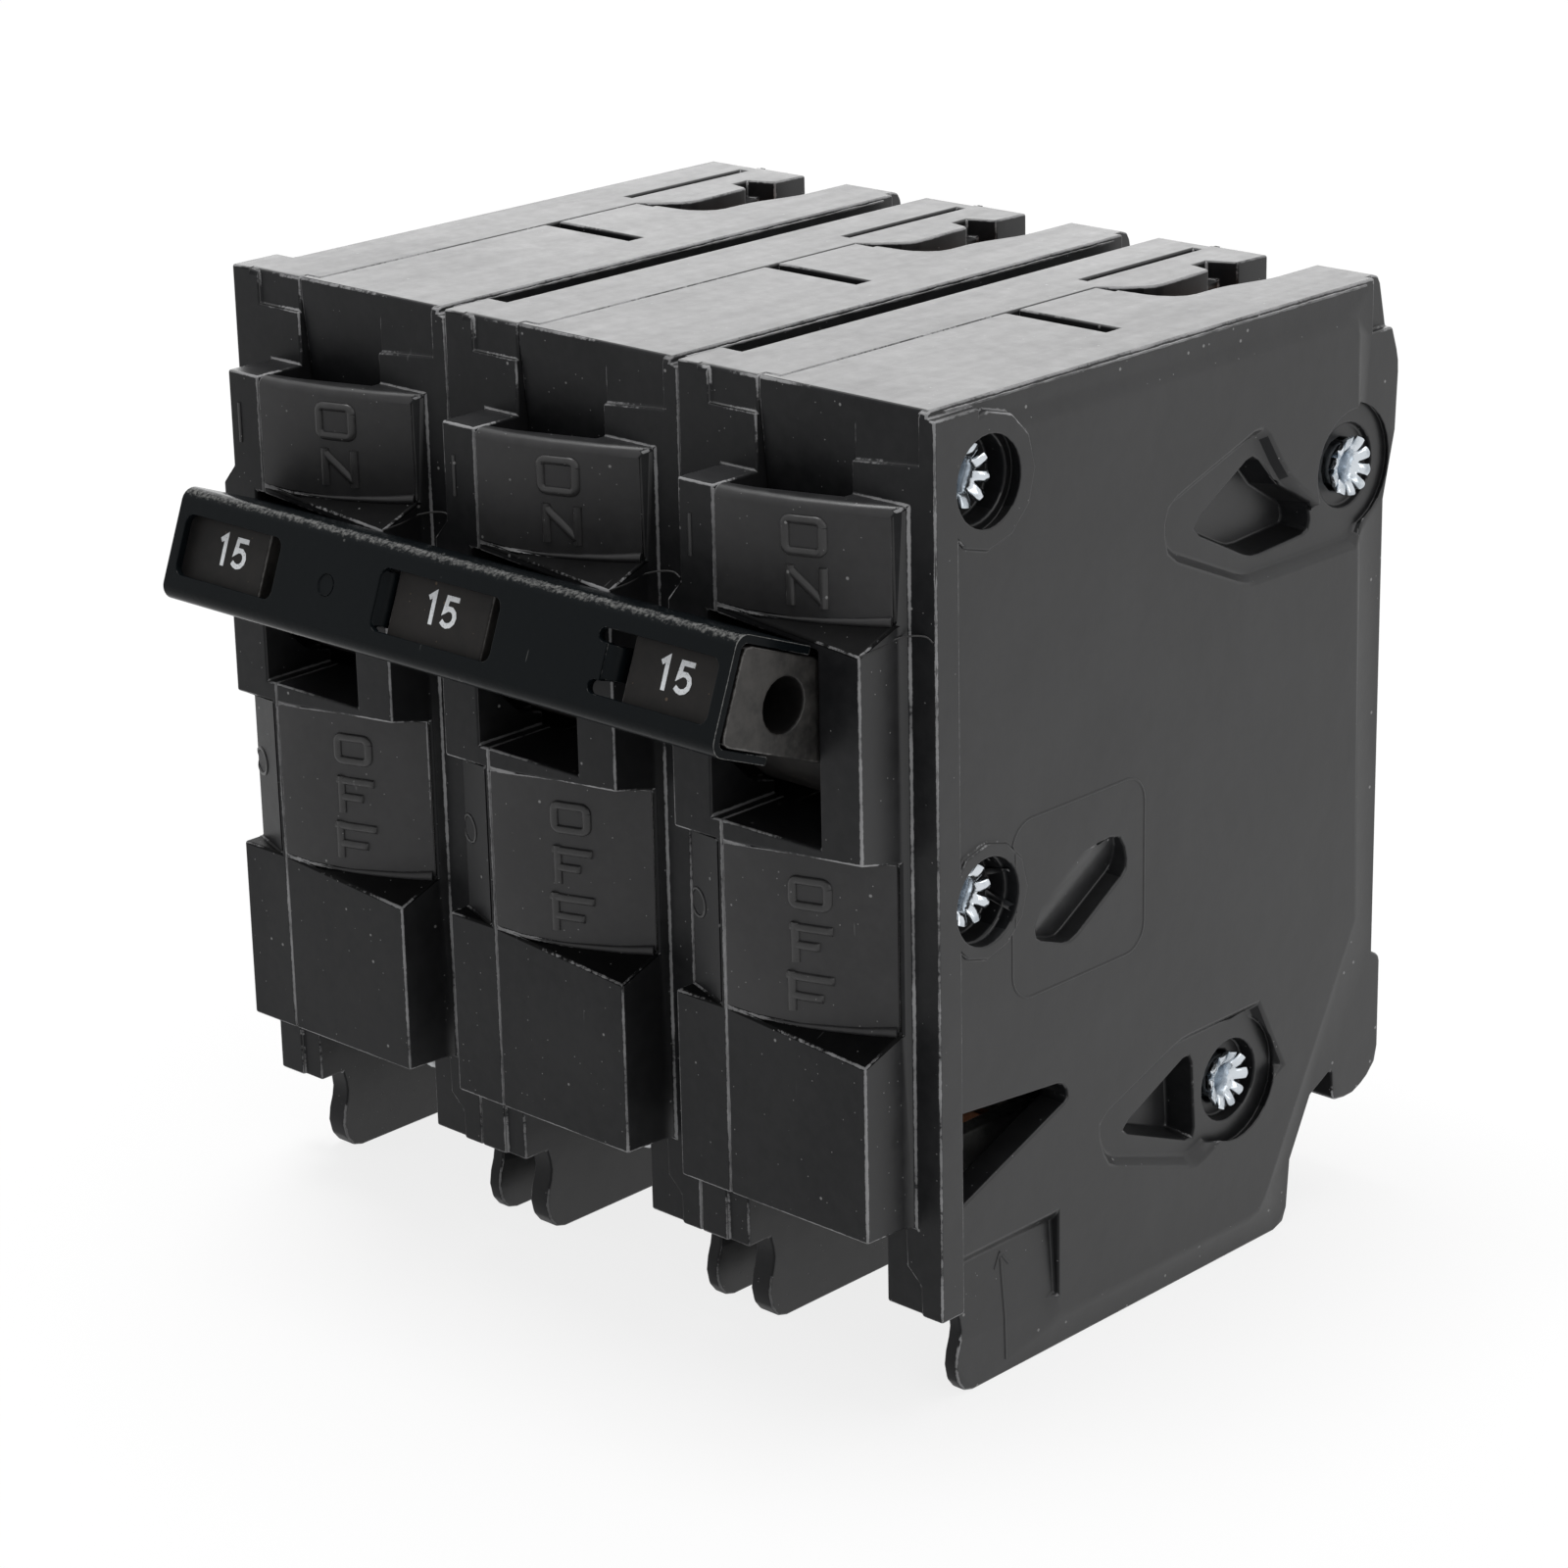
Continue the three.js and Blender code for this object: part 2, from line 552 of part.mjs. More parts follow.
// Room in front of the brow above the ON pad: a shallow step, and a slope down into a pocket that
// runs on behind the pad.
function browRoom() {
  const { step, x1, notchX, bottom, floor, slope } = BROW;
  const shallow = new THREE.Shape([
    new THREE.Vector2(-1, bottom - 1),
    new THREE.Vector2(step, bottom - 1),
    new THREE.Vector2(step, 1),
    new THREE.Vector2(-1, 1),
  ]);
  const slopes = new THREE.Shape([
    new THREE.Vector2(NOSE.y, floor),
    new THREE.Vector2(step + slope, floor),
    new THREE.Vector2(step, bottom / 3),
    new THREE.Vector2(step, 1),
    new THREE.Vector2(NOSE.y, 1),
  ]);
  const behindPad = new THREE.Shape([
    new THREE.Vector2(SEAM_X - 1, NOSE.y + PAD_WALL - 0.2),
    new THREE.Vector2(SEAM_X + 3, NOSE.y + PAD_WALL + 0.5),
    new THREE.Vector2(notchX, NOSE.y + PAD_WALL + 2.6),
    new THREE.Vector2(notchX, WALL),
    new THREE.Vector2(SEAM_X - 1, WALL),
  ]);
  const step0 = slantedAcross(shallow, SEAM_X - 1, x1, 0.095);
  return step0.add(across(slopes, SEAM_X - 1, notchX).intersect(upward(behindPad, floor, 1)));
}

function coverHalf(rodPasses) {
  const wallX = -RIGHT_WALL;
  const nose = new THREE.Shape([
    new THREE.Vector2(SEAM_X, NOSE.y),
    new THREE.Vector2(NOSE.x1, NOSE.y),
    new THREE.Vector2(NOSE.x1 + 0.25, -1),
    new THREE.Vector2(NOSE.x1 + 0.8, 0.2),
    new THREE.Vector2(SEAM_X, 0.2),
  ]);
  const footStep = outline([
    [-6.5, FOOT_Z - 1],
    [-2.1, FOOT_Z - 1],
    [-2.2, -68.3],
    [-3.6, -67],
    [-3.7, NOSE.bottom],
    [-6.5, NOSE.bottom],
  ]);
  const raised = [
    embossed(fieldOutline, -BAND_DEPTH, -FIELD_DEPTH, FIELD_SLOPE),
    box(-BAND_DEPTH - 0.1, 0, 0, STRIP_WIDTH, FOOT_Z, -0.6),
    box(-BAND_DEPTH - 0.1, 0, 0, 4.9, -3, -0.6),
    ...[RIVETS[0], RIVETS[2]].map(({ y, z, mouth }) => pinX(-BAND_DEPTH - 0.1, 0, y, z, mouth + 1)),
  ];
  const shell = cut(
    join(
      across(sideOutline, SEAM_X, -BAND_DEPTH),
      upward(nose, NOSE.bottom, NOSE.top),
      ...raised,
    ),
    padRoom(ON_PAD),
    padRoom(OFF_PAD),
    browRoom(),
    box(SEAM_X - 1, LIP.x1, LIP.y0, JAW_WALLS.y0 + 0.1, -LIP.depth, 1),
    hollow(SEAM_X - 1, wallX),
    box(SEAM_X - 1, -TAB_PLATE, -1, CASE_DEPTH - 11.9, -CASE_HEIGHT - 1, FLOOR_Z),
    lugChamber(SEAM_X - 1, wallX),
    box(SEAM_X - 1, -TAB_PLATE, -1, ENTRY_DEPTH, -CASE_HEIGHT - 1, FOOT_Z),
    box(SEAM_X - 1, -5.9, -1, STRIP_WIDTH + 1, FOOT_Z, NOSE.bottom),
    strapPassage(SEAM_X - 1, METAL_X.x1 + 2),
    handleRoom(SEAM_X - 1, SLOT.x1),
    along(footStep, -1, 0.3),
    pinX(SEAM_X - 1, SLOT.x1 + 0.3, PIVOT.y, PIVOT.z, HUB_RADIUS + 0.6),
  );
  const pocketRoom = [upperPocket, lowerPocket].map((pocket) =>
    across(grownOutline(pocket, 1.1), -POCKET_DEPTH - 1.3, wallX + 0.1));
  const fitted = join(
    shell,
    ...pocketRoom,
    box(JAW_WALLS.right0, JAW_WALLS.right1, JAW_WALLS.y0, CASE_DEPTH - 0.6, JAW_WALLS.z0, -1),
    box(JAW_WALLS.right0, wallX, JAW_WALLS.y0, CASE_DEPTH - WALL, JAW_WALLS.z0, JAW_WALLS.z0 + 1.2),
    yokeRibs(SEAM_X, wallX),
    pinX(SLOT.x1 + 0.4, wallX, PIVOT.y, PIVOT.z, HANDLE_PIN + FIT + 1.4),
    ...bearings(wallX, -5.2),
  );
  const stabMouth = outline([
    [SEAM_X - 1, JAW_WALLS.y0],
    [-10.4, JAW_WALLS.y0 + 0.8, 1],
    [-8.55, 39.2, 1],
    [-8.5, 43.3, 1],
    [-7.2, 48, 1],
    [-7.2, CASE_DEPTH + 4],
    [SEAM_X - 1, CASE_DEPTH + 4],
  ]);
  const holes = [
    upward(stabMouth, -WALL - 0.01, 1),
    box(SEAM_X - 1, JAW_WALLS.left1, JAW_WALLS.y0, CASE_DEPTH + 4, JAW_WALLS.z0, 1),
    box(SEAM_X - 1, JAW_WALLS.right0, JAW_WALLS.y0 + 1.2, CASE_DEPTH + 4, JAW_WALLS.z0, -WALL),
    box(SEAM_X - 1, -6, 26.2, 27.7, -WALL - 1, 1),
    pinX(SLOT.x1 - 1, wallX, PIVOT.y, PIVOT.z, HANDLE_PIN + FIT),
    ...bearingHoles(-6, wallX),
    ...rivetHoles(SEAM_X - 1, 1),
    ...RIVETS.map(({ y, z, depth }) => pinX(-depth, 1, y, z, RIVET.head + FIT, POCKET_STEPS)),
    ...RIVETS.map(({ y, z, mouth, depth }) =>
      pinX(-depth * 0.45, 0.01, y, z, mouth, POCKET_STEPS, RIVET.head + FIT)),
    sunken(upperIsland, ISLAND_DEPTH, ISLAND_SLOPE),
    sunken(lowerIsland, ISLAND_DEPTH, ISLAND_SLOPE),
    ...[RIVETS[1], RIVETS[3]].map(({ y, z, mouth }) =>
      pinX(-ISLAND_DEPTH, 0.01, y, z, mouth + 0.8 + ISLAND_SLOPE, POCKET_STEPS, mouth + 0.8)),
    sunken(upperPocket, POCKET_DEPTH, 0.5),
    sunken(lowerPocket, POCKET_DEPTH, 0.5),
    across(lugWindow, wallX - 1, 1),
    along(gaugeRamp, STRIP_WIDTH, 14),
    leafRoom(),
    box(-1.5, 1, 53, CASE_DEPTH + 3, -4.4, 1),
  ];
  if (rodPasses) holes.push(across(rodSlot, wallX - 1, 1));
  return cut(fitted, ...holes);
}

// The outline moved outward by a distance, corner by corner, from its own centre of gravity.
function grownOutline(shape, distance) {
  const points = shape.getPoints(CURVE_STEPS);
  const centre = points.reduce((sum, p) => sum.add(p), new THREE.Vector2()).divideScalar(points.length);
  return new THREE.Shape(points.map((p) => {
    const arm = p.clone().sub(centre);
    return centre.clone().add(arm.setLength(arm.length() + distance));
  }));
}

// ---------------------------------------------------------------- handle and tie bar
const HANDLE_X = { x0: SLOT.x0 + FIT, x1: SLOT.x0 + FIT + HANDLE_WIDTH };

// In its own frame: pivot at the origin, lever along -Y.
function handle() {
  const half = HANDLE_HEIGHT / 2;
  const lever = outline([
    [-HANDLE_REACH, half, 0.8],
    [-HANDLE_REACH, -half, 0.8],
    [0, -half],
    [0, half],
  ]);
  const tip = outline([
    [-HANDLE_REACH, half, 0.8],
    [-HANDLE_REACH, -half, 0.8],
    [-TIP_START, -half],
    [-TIP_START, half],
  ]);
  return cut(
    join(
      pinX(HANDLE_X.x0, HANDLE_X.x1, 0, 0, HUB_RADIUS, 28),
      across(lever, HANDLE_X.x0, HANDLE_X.x1),
      across(tip, HANDLE_X.x0 - TIP_OVERHANG, HANDLE_X.x1),
      pinX(PIN_SPAN.x0, PIN_SPAN.x1, 0, 0, HANDLE_PIN),
    ),
    pinX(HANDLE_X.x0 - 2, HANDLE_X.x1 + 1, -TIE_HOLE.reach, 0, TIE_HOLE.radius, 20),
  );
}

// In the handle's frame, and with X measured as on the right-hand pole.
function tieBar() {
  const front = -HANDLE_REACH - FIT - BAR_SHEET;
  const half = BAR_HEIGHT / 2;
  const profile = outline([
    [front + BAR_TOP_FLANGE, half],
    [front, half, 1.2],
    [front, -half, 1.2],
    [front + BAR_BOTTOM_FLANGE, -half],
    [front + BAR_BOTTOM_FLANGE, BAR_SHEET - half],
    [front + BAR_SHEET, BAR_SHEET - half, 0.6],
    [front + BAR_SHEET, half - BAR_SHEET, 0.6],
    [front + BAR_TOP_FLANGE, half - BAR_SHEET],
  ]);
  const right = HANDLE_X.x1;
  const left = HANDLE_X.x0 - (POLES.length - 1) * POLE_PITCH - BAR_OVERHANG;
  const { height, end, middle, margin } = BAR_WINDOW;
  const window = (x0, x1) =>
    along(outline([
      [x0, -height / 2, 0.7],
      [x1, -height / 2, 0.7],
      [x1, height / 2, 0.7],
      [x0, height / 2, 0.7],
    ]), front - 1, front + BAR_SHEET + 0.1);
  const centre = (left + right) / 2;
  const bends = [
    { x: left + margin + end, side: -1 },
    { x: centre - middle / 2, side: 1 },
    { x: centre + middle / 2, side: -1 },
    { x: right - margin - end, side: 1 },
  ];
  const { half: tabHalf, length, inset, relief } = BAR_TAB;
  const tab = ({ x, side }) => {
    const inner = x + side * (inset + BAR_SHEET);
    const bent = outline([
      [x - side * 0.4, front],
      [inner, front, 0.7],
      [inner, front + length],
      [inner - side * BAR_SHEET, front + length],
      [inner - side * BAR_SHEET, front + BAR_SHEET],
      [x - side * 0.4, front + BAR_SHEET],
    ]);
    return upward(bent, -tabHalf, tabHalf);
  };
  const reliefs = bends.flatMap(({ x, side }) => [-1, 1].map((end) => {
    const near = Math.min(end * tabHalf, end * (tabHalf + relief));
    const far = x - side * relief;
    return box(Math.min(x, far), Math.max(x, far), front - 1, front + BAR_SHEET + 0.1, near, near + relief);
  }));
  const dimple = BAR_DIMPLE;
  return cut(
    join(
      cut(
        across(profile, left, right),
        window(left + margin, left + margin + end),
        window(centre - middle / 2, centre + middle / 2),
        window(right - margin - end, right - margin),
        ...reliefs,
      ),
      ...bends.map(tab),
    ),
    pinY(front - 1, front + dimple.depth, dimple.x, dimple.z, dimple.radius),
  );
}

// ---------------------------------------------------------------- line side
function lineJaw() {
  const half = [
    [1.9, JAW.front + JAW.sheet],
    [2.1, JAW.front + 2.2],
    [0.7, JAW.tip - 3.4],
    [1.8, JAW.tip],
    [2.7, JAW.tip - 0.4],
    [1.6, JAW.tip - 3.4],
    [3, JAW.front + 2],
    [2.8, JAW.front],
  ];
  const right = half.map(([x, y]) => new THREE.Vector2(JAW.x + x, y));
  const left = half.map(([x, y]) => new THREE.Vector2(JAW.x - x, y)).reverse();
  const seat = CONTACT.top + 1.9;
  return join(
    upward(new THREE.Shape([...right, ...left]), JAW.z0, JAW.z1),
    box(JAW.x - 2.8, JAW.x + 2.4, JAW.front, JAW.front + JAW.sheet, seat, JAW.z0 + 0.5),
    box(CONTACT.x0, JAW.x + 2.4, CONTACT.y0 - 0.4, JAW.front + JAW.sheet, seat, seat + 1.2),
  );
}

const fixedContact = () =>
  pinlessButton(CONTACT.top, CONTACT.top + 1.9 - 0.02);

// A silver contact facing between two heights.
function pinlessButton(z0, z1) {
  const { x0, x1, y0, y1 } = CONTACT;
  const face = outline([
    [x0, y0, 1],
    [x1, y0, 1],
    [x1, y1, 1],
    [x0, y1, 1],
  ]);
  return upward(face, z0, z1);
}

// ---------------------------------------------------------------- switching mechanism
function contactArm() {
  const top = CONTACT.top - FIT;
  const seat = top - 1.5;
  const blade = outline([
    [ARM.y - 2.2, ARM.z + 1.2, 1],
    [ARM.y + 0.6, ARM.z + 2.8, 1],
    [CONTACT.y0 - 3, seat - 3],
    [CONTACT.y0 - 0.4, seat],
    [CONTACT.y1 + 0.6, seat],
    [CONTACT.y1 + 0.8, seat - 2],
    [CONTACT.y0, seat - 3.4],
    [ARM.y + 3.2, ARM.z - 1.2, 1],
    [ARM.y + 0.4, ARM.z - 2.6, 1],
    [ARM.y - 2, ARM.z - 1.6, 1],
  ]);
  return join(
    across(blade, ARM.x0, ARM.x1),
    pinX(PIN_SPAN.x0, PIN_SPAN.x1, ARM.y, ARM.z, ARM.pin),
    pinlessButton(seat - 0.4, top),
  );
}

function cradle() {
  const { y, z, reach } = CRADLE;
  const plate = outline([
    [ROD.y - 2.4, ROD.z + 1.6, 1],
    [ROD.y + 2.4, ROD.z + 1.6, 1],
    [y + 4, z + 2.6],
    [y + reach - 2.5, z + 3],
    [y + reach, z + 3],
    [y + reach, z + 1],
    [y + reach - 4, z],
    [y + 3, z - 2.2],
    [y, z - 3, 1],
    [y - 2.8, z - 1.6, 1],
  ]);
  return cut(
    join(
      across(plate, CRADLE.x0, CRADLE.x1),
      pinX(PIN_SPAN.x0, PIN_SPAN.x1, y, z, CRADLE.pin),
    ),
    pinX(CRADLE.x0 - 1, CRADLE.x1 + 1, ROD.y, ROD.z, ROD.radius + FIT),
  );
}

// Over-centre spring between the arm and the cradle, with its hook ends bent to their sides.
function toggleSpring() {
  const x = -9.6;
  const top = new THREE.Vector3(x, 21, -29.8);
  const low = new THREE.Vector3(x, 26.5, -43.4);
  const length = top.distanceTo(low);
  const coil = new THREE.CylinderGeometry(1.7, 1.7, length, ROUND_STEPS);
  const turn = new THREE.Quaternion().setFromUnitVectors(
    new THREE.Vector3(0, 1, 0),
    top.clone().sub(low).normalize(),
  );
  coil.applyQuaternion(turn);
  coil.translate((top.x + low.x) / 2, (top.y + low.y) / 2, (top.z + low.z) / 2);
  return join(
    solid(coil),
    pinX(ARM.x1 + FIT, x, top.y, top.z - 0.6, 0.5, 8),
    pinX(CRADLE.x1 + FIT, x, low.y, low.z + 0.6, 0.5, 8),
  );
}

function arcChute() {
  const { x0, x1 } = PIN_SPAN;
  const plates = 5;
  const pitch = 3.3;
  const sheet = 1.1;
  const top = -20.8;
  const y0 = 38.5;
  const y1 = 50.6;
  const mid = (x0 + x1) / 2;
  const plate = new THREE.Shape([
    new THREE.Vector2(x0 + 0.5, y0),
    new THREE.Vector2(mid - 3.4, y0),
    new THREE.Vector2(mid - 1, y0 + 7),
    new THREE.Vector2(mid + 1, y0 + 7),
    new THREE.Vector2(mid + 3.4, y0),
    new THREE.Vector2(x1 - 0.5, y0),
    new THREE.Vector2(x1 - 0.5, y1),
    new THREE.Vector2(x0 + 0.5, y1),
  ]);
  const stack = [...Array(plates).keys()].map((i) => {
    const z1 = top - i * pitch;
    return upward(plate, z1 - sheet, z1);
  });
  const bottom = top - (plates - 1) * pitch - sheet;
  return join(
    box(x0, x0 + 0.8, y0, y1, bottom, top),
    box(x1 - 0.8, x1, y0, y1, bottom, top),
    ...stack,
  );
}

// ---------------------------------------------------------------- trip unit and load side
const armature = () =>
  join(
    box(METAL_X.x0, METAL_X.x1, ARMATURE.y - 0.45, ARMATURE.y + 0.45, ARMATURE.z, ARMATURE.z + ARMATURE.height),
    pinX(PIN_SPAN.x0, PIN_SPAN.x1, ARMATURE.y, ARMATURE.z, ARMATURE.pin, 12),
  );

function magnetYoke() {
  const profile = new THREE.Shape([
    new THREE.Vector2(-18.2, 48.1),
    new THREE.Vector2(-18.2, 43),
    new THREE.Vector2(-17, 43),
    new THREE.Vector2(-17, 46.9),
    new THREE.Vector2(-8, 46.9),
    new THREE.Vector2(-8, 43),
    new THREE.Vector2(-6.8, 43),
    new THREE.Vector2(-6.8, 48.1),
  ]);
  return upward(profile, -58, -50);
}

const bimetal = () => box(METAL_X.x0, METAL_X.x1, 43.9, 44.8, -62.6, -43);

const loadStrap = () =>
  across(
    ribbon([
      [46.2, -59.6],
      [46.2, -63.4],
      [42.6, -67.4],
      [40.6, -72.5],
      [LUG.y1 - 3.1, -72.5],
      [LUG.y1 - 3.1, -62.2],
    ], 1.1),
    METAL_X.x0,
    METAL_X.x1,
  );

// Flexible braid from the top of the bimetal to the side of the contact arm.
function braid() {
  const route = new THREE.CatmullRomCurve3([
    new THREE.Vector3(-14.6, 44.35, -41.6),
    new THREE.Vector3(-17.2, 41.5, -38.9),
    new THREE.Vector3(-18, 32, -39.5),
    new THREE.Vector3(-18, 22, -38.5),
    new THREE.Vector3(-16, 15.2, -34.4),
  ]);
  const ring = outline([...Array(8).keys()].map((i) => {
    const turn = (i / 8) * 2 * Math.PI;
    return [1.1 * Math.cos(turn), 1.1 * Math.sin(turn)];
  }));
  return solid(new THREE.ExtrudeGeometry(ring, { steps: 16, extrudePath: route, bevelEnabled: false }));
}

function lug() {
  const { x0, x1, y0, y1, z0, z1, wall } = LUG;
  return cut(
    box(x0, x1, y0, y1, z0, z1),
    box(x0 + wall, x1 - wall, y0 + wall, y1 - wall, z0 - 1, z1 + 1),
    pinY(y0 - 1, y0 + wall + 0.5, SCREW.x, SCREW.z, SCREW.radius + FIT, 20),
  );
}

// Slotted set screw, backed out as far as the inner face of the collar.
function lugScrew() {
  const { x, z, radius, front, slot } = SCREW;
  return cut(
    pinY(front, LUG.y0 + LUG.wall, x, z, radius, 20),
    box(x - radius - 1, x + radius + 1, front - 1, front + slot, z - slot / 2, z + slot / 2),
  );
}

// ---------------------------------------------------------------- pieces that cross all poles
// A hollow rivet along X: round factory head on the left, flared and dished end on the right.
function rivet({ sink }) {
  const left = -POLES.length * POLE_PITCH + FIT * 2;
  const right = -sink;
  const { shank, head, flare, bore, headThickness } = RIVET;
  const profile = [
    [0, left],
    [head - 0.6, left],
    [head, left + headThickness * 0.6],
    [head, left + headThickness],
    [shank, left + headThickness],
    [shank, right - headThickness],
    [flare, right - 0.5],
    [flare - 0.3, right],
    [bore + 0.5, right - 0.5],
    [bore, right - 2.5],
    [0, right - 2.5],
  ];
  const points = profile.map(([radius, x]) => new THREE.Vector2(radius, x));
  const turned = new THREE.LatheGeometry(points, 18);
  return solid(turned.rotateZ(-Math.PI / 2));
}

function tripRod() {
  const left = -(POLES.length - 1) * POLE_PITCH + PIN_SPAN.x0 + 2;
  return pinX(left, -5.4, ROD.y, ROD.z, ROD.radius, 10);
}

// ---------------------------------------------------------------- assembly
const breaker = new THREE.Group();
const tilt = THREE.MathUtils.degToRad(-HANDLE_TILT);

POLES.forEach((pole, index) => {
  const group = new THREE.Group();
  group.position.x = -(POLES.length - 1 - index) * POLE_PITCH;
  const isLeft = index === 0;
  const isRight = index === POLES.length - 1;
  const lever = mesh(`${pole}_handle`, handle(), MATERIALS.handle);
  lever.position.set(0, PIVOT.y, PIVOT.z);
  lever.rotation.x = tilt;
  group.add(
    mesh(`${pole}_base_half`, baseHalf(!isLeft), MATERIALS.thermoset),
    mesh(`${pole}_cover_half`, coverHalf(!isRight), MATERIALS.thermoset),
    lever,
    mesh(`${pole}_line_jaw`, lineJaw(), MATERIALS.copper),
    mesh(`${pole}_fixed_contact`, fixedContact(), MATERIALS.silver),
    mesh(`${pole}_contact_arm`, contactArm(), MATERIALS.copper),
    mesh(`${pole}_trip_cradle`, cradle(), MATERIALS.steel),
    mesh(`${pole}_toggle_spring`, toggleSpring(), MATERIALS.steel),
    mesh(`${pole}_arc_chute`, arcChute(), MATERIALS.steel),
    mesh(`${pole}_armature`, armature(), MATERIALS.steel),
    mesh(`${pole}_magnet_yoke`, magnetYoke(), MATERIALS.steel),
    mesh(`${pole}_bimetal`, bimetal(), MATERIALS.bimetal),
    mesh(`${pole}_load_strap`, loadStrap(), MATERIALS.copper),
    mesh(`${pole}_braid`, braid(), MATERIALS.braid),
    mesh(`${pole}_terminal_lug`, lug(), MATERIALS.lug),
    mesh(`${pole}_terminal_screw`, lugScrew(), MATERIALS.zinc),
  );
  breaker.add(group);
});

const bar = mesh("handle_tie_bar", tieBar(), MATERIALS.paintedSteel);
bar.position.set(0, PIVOT.y, PIVOT.z);
bar.rotation.x = tilt;
breaker.add(bar, mesh("common_trip_rod", tripRod(), MATERIALS.steel));
RIVETS.forEach((place) => {
  const made = mesh(place.name, rivet(place), MATERIALS.zinc);
  made.position.set(0, place.y, place.z);
  breaker.add(made);
});

// The part's own frame stands under the middle of the whole breaker.
const bounds = new THREE.Box3().setFromObject(breaker, true);
const middle = bounds.getCenter(new THREE.Vector3());
breaker.position.set(-middle.x, -middle.y, -bounds.min.z);

export default breaker;
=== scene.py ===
"""Looks of a three-pole plug-in breaker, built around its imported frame.

Lengths in the drawing are millimetres of one pole: x runs from 0 at its right
face to -25.4 at its left, y runs back from the front plane, and z runs down
from the top as a negative number.
"""

from __future__ import annotations

import logging
import math
from dataclasses import dataclass, field
from enum import Enum
from typing import Any, Callable, Iterable, Sequence

import bmesh
import bpy
from mathutils import Matrix, Vector, noise
from mathutils.bvhtree import BVHTree
from mathutils.geometry import delaunay_2d_cdt


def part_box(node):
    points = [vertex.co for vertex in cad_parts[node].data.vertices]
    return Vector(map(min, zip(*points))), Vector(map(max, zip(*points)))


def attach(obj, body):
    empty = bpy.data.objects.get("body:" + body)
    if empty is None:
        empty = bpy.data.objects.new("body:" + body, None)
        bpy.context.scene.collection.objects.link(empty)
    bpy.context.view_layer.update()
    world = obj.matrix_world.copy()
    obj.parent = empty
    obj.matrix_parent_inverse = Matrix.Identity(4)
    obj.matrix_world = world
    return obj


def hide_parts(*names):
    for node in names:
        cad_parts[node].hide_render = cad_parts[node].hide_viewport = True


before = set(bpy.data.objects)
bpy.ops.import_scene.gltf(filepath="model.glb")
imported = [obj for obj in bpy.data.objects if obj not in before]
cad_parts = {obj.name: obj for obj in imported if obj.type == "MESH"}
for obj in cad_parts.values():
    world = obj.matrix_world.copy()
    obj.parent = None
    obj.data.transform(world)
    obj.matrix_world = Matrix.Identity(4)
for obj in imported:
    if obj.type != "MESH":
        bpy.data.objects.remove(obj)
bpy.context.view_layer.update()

LOG = logging.getLogger("breaker")
MM = 0.001
DRAWING_ORIGIN = Vector((38.1, -20.663, 78.2))
POLE_PITCH = 25.4
PIVOT = Vector((0.0, 3.2, -25.4))
HANDLE_TILT = math.radians(21)
SEAM_X = -17.4
NOSE_FRONT = -4.7
PAD_CURVE = 0.0178
SETTLING_RUN = 20.0  # how far before the marks' plane the search for the surface starts
ROUND_SHADING = 80.0  # degrees below which the edges of round bars are shaded smooth


class Pole(Enum):
    """The three poles, with the distance of each from the right one."""

    LEFT = ("left", -2 * POLE_PITCH)
    CENTRE = ("centre", -POLE_PITCH)
    RIGHT = ("right", 0.0)

    @property
    def word(self) -> str:
        """First word of the pole's node names."""
        return self.value[0]

    @property
    def offset(self) -> float:
        """Distance to the right pole in millimetres."""
        return self.value[1]


def at(x: float, y: float, z: float, offset: float = 0.0) -> Vector:
    """Turns a point of the drawing into metres of the row frame.

    Args:
        x: Place across the pole.
        y: Place behind the front plane.
        z: Place below the top, negative.
        offset: Distance of the pole from the right one.

    Returns:
        The point in metres.
    """
    return (DRAWING_ORIGIN + Vector((x + offset, y, z))) * MM


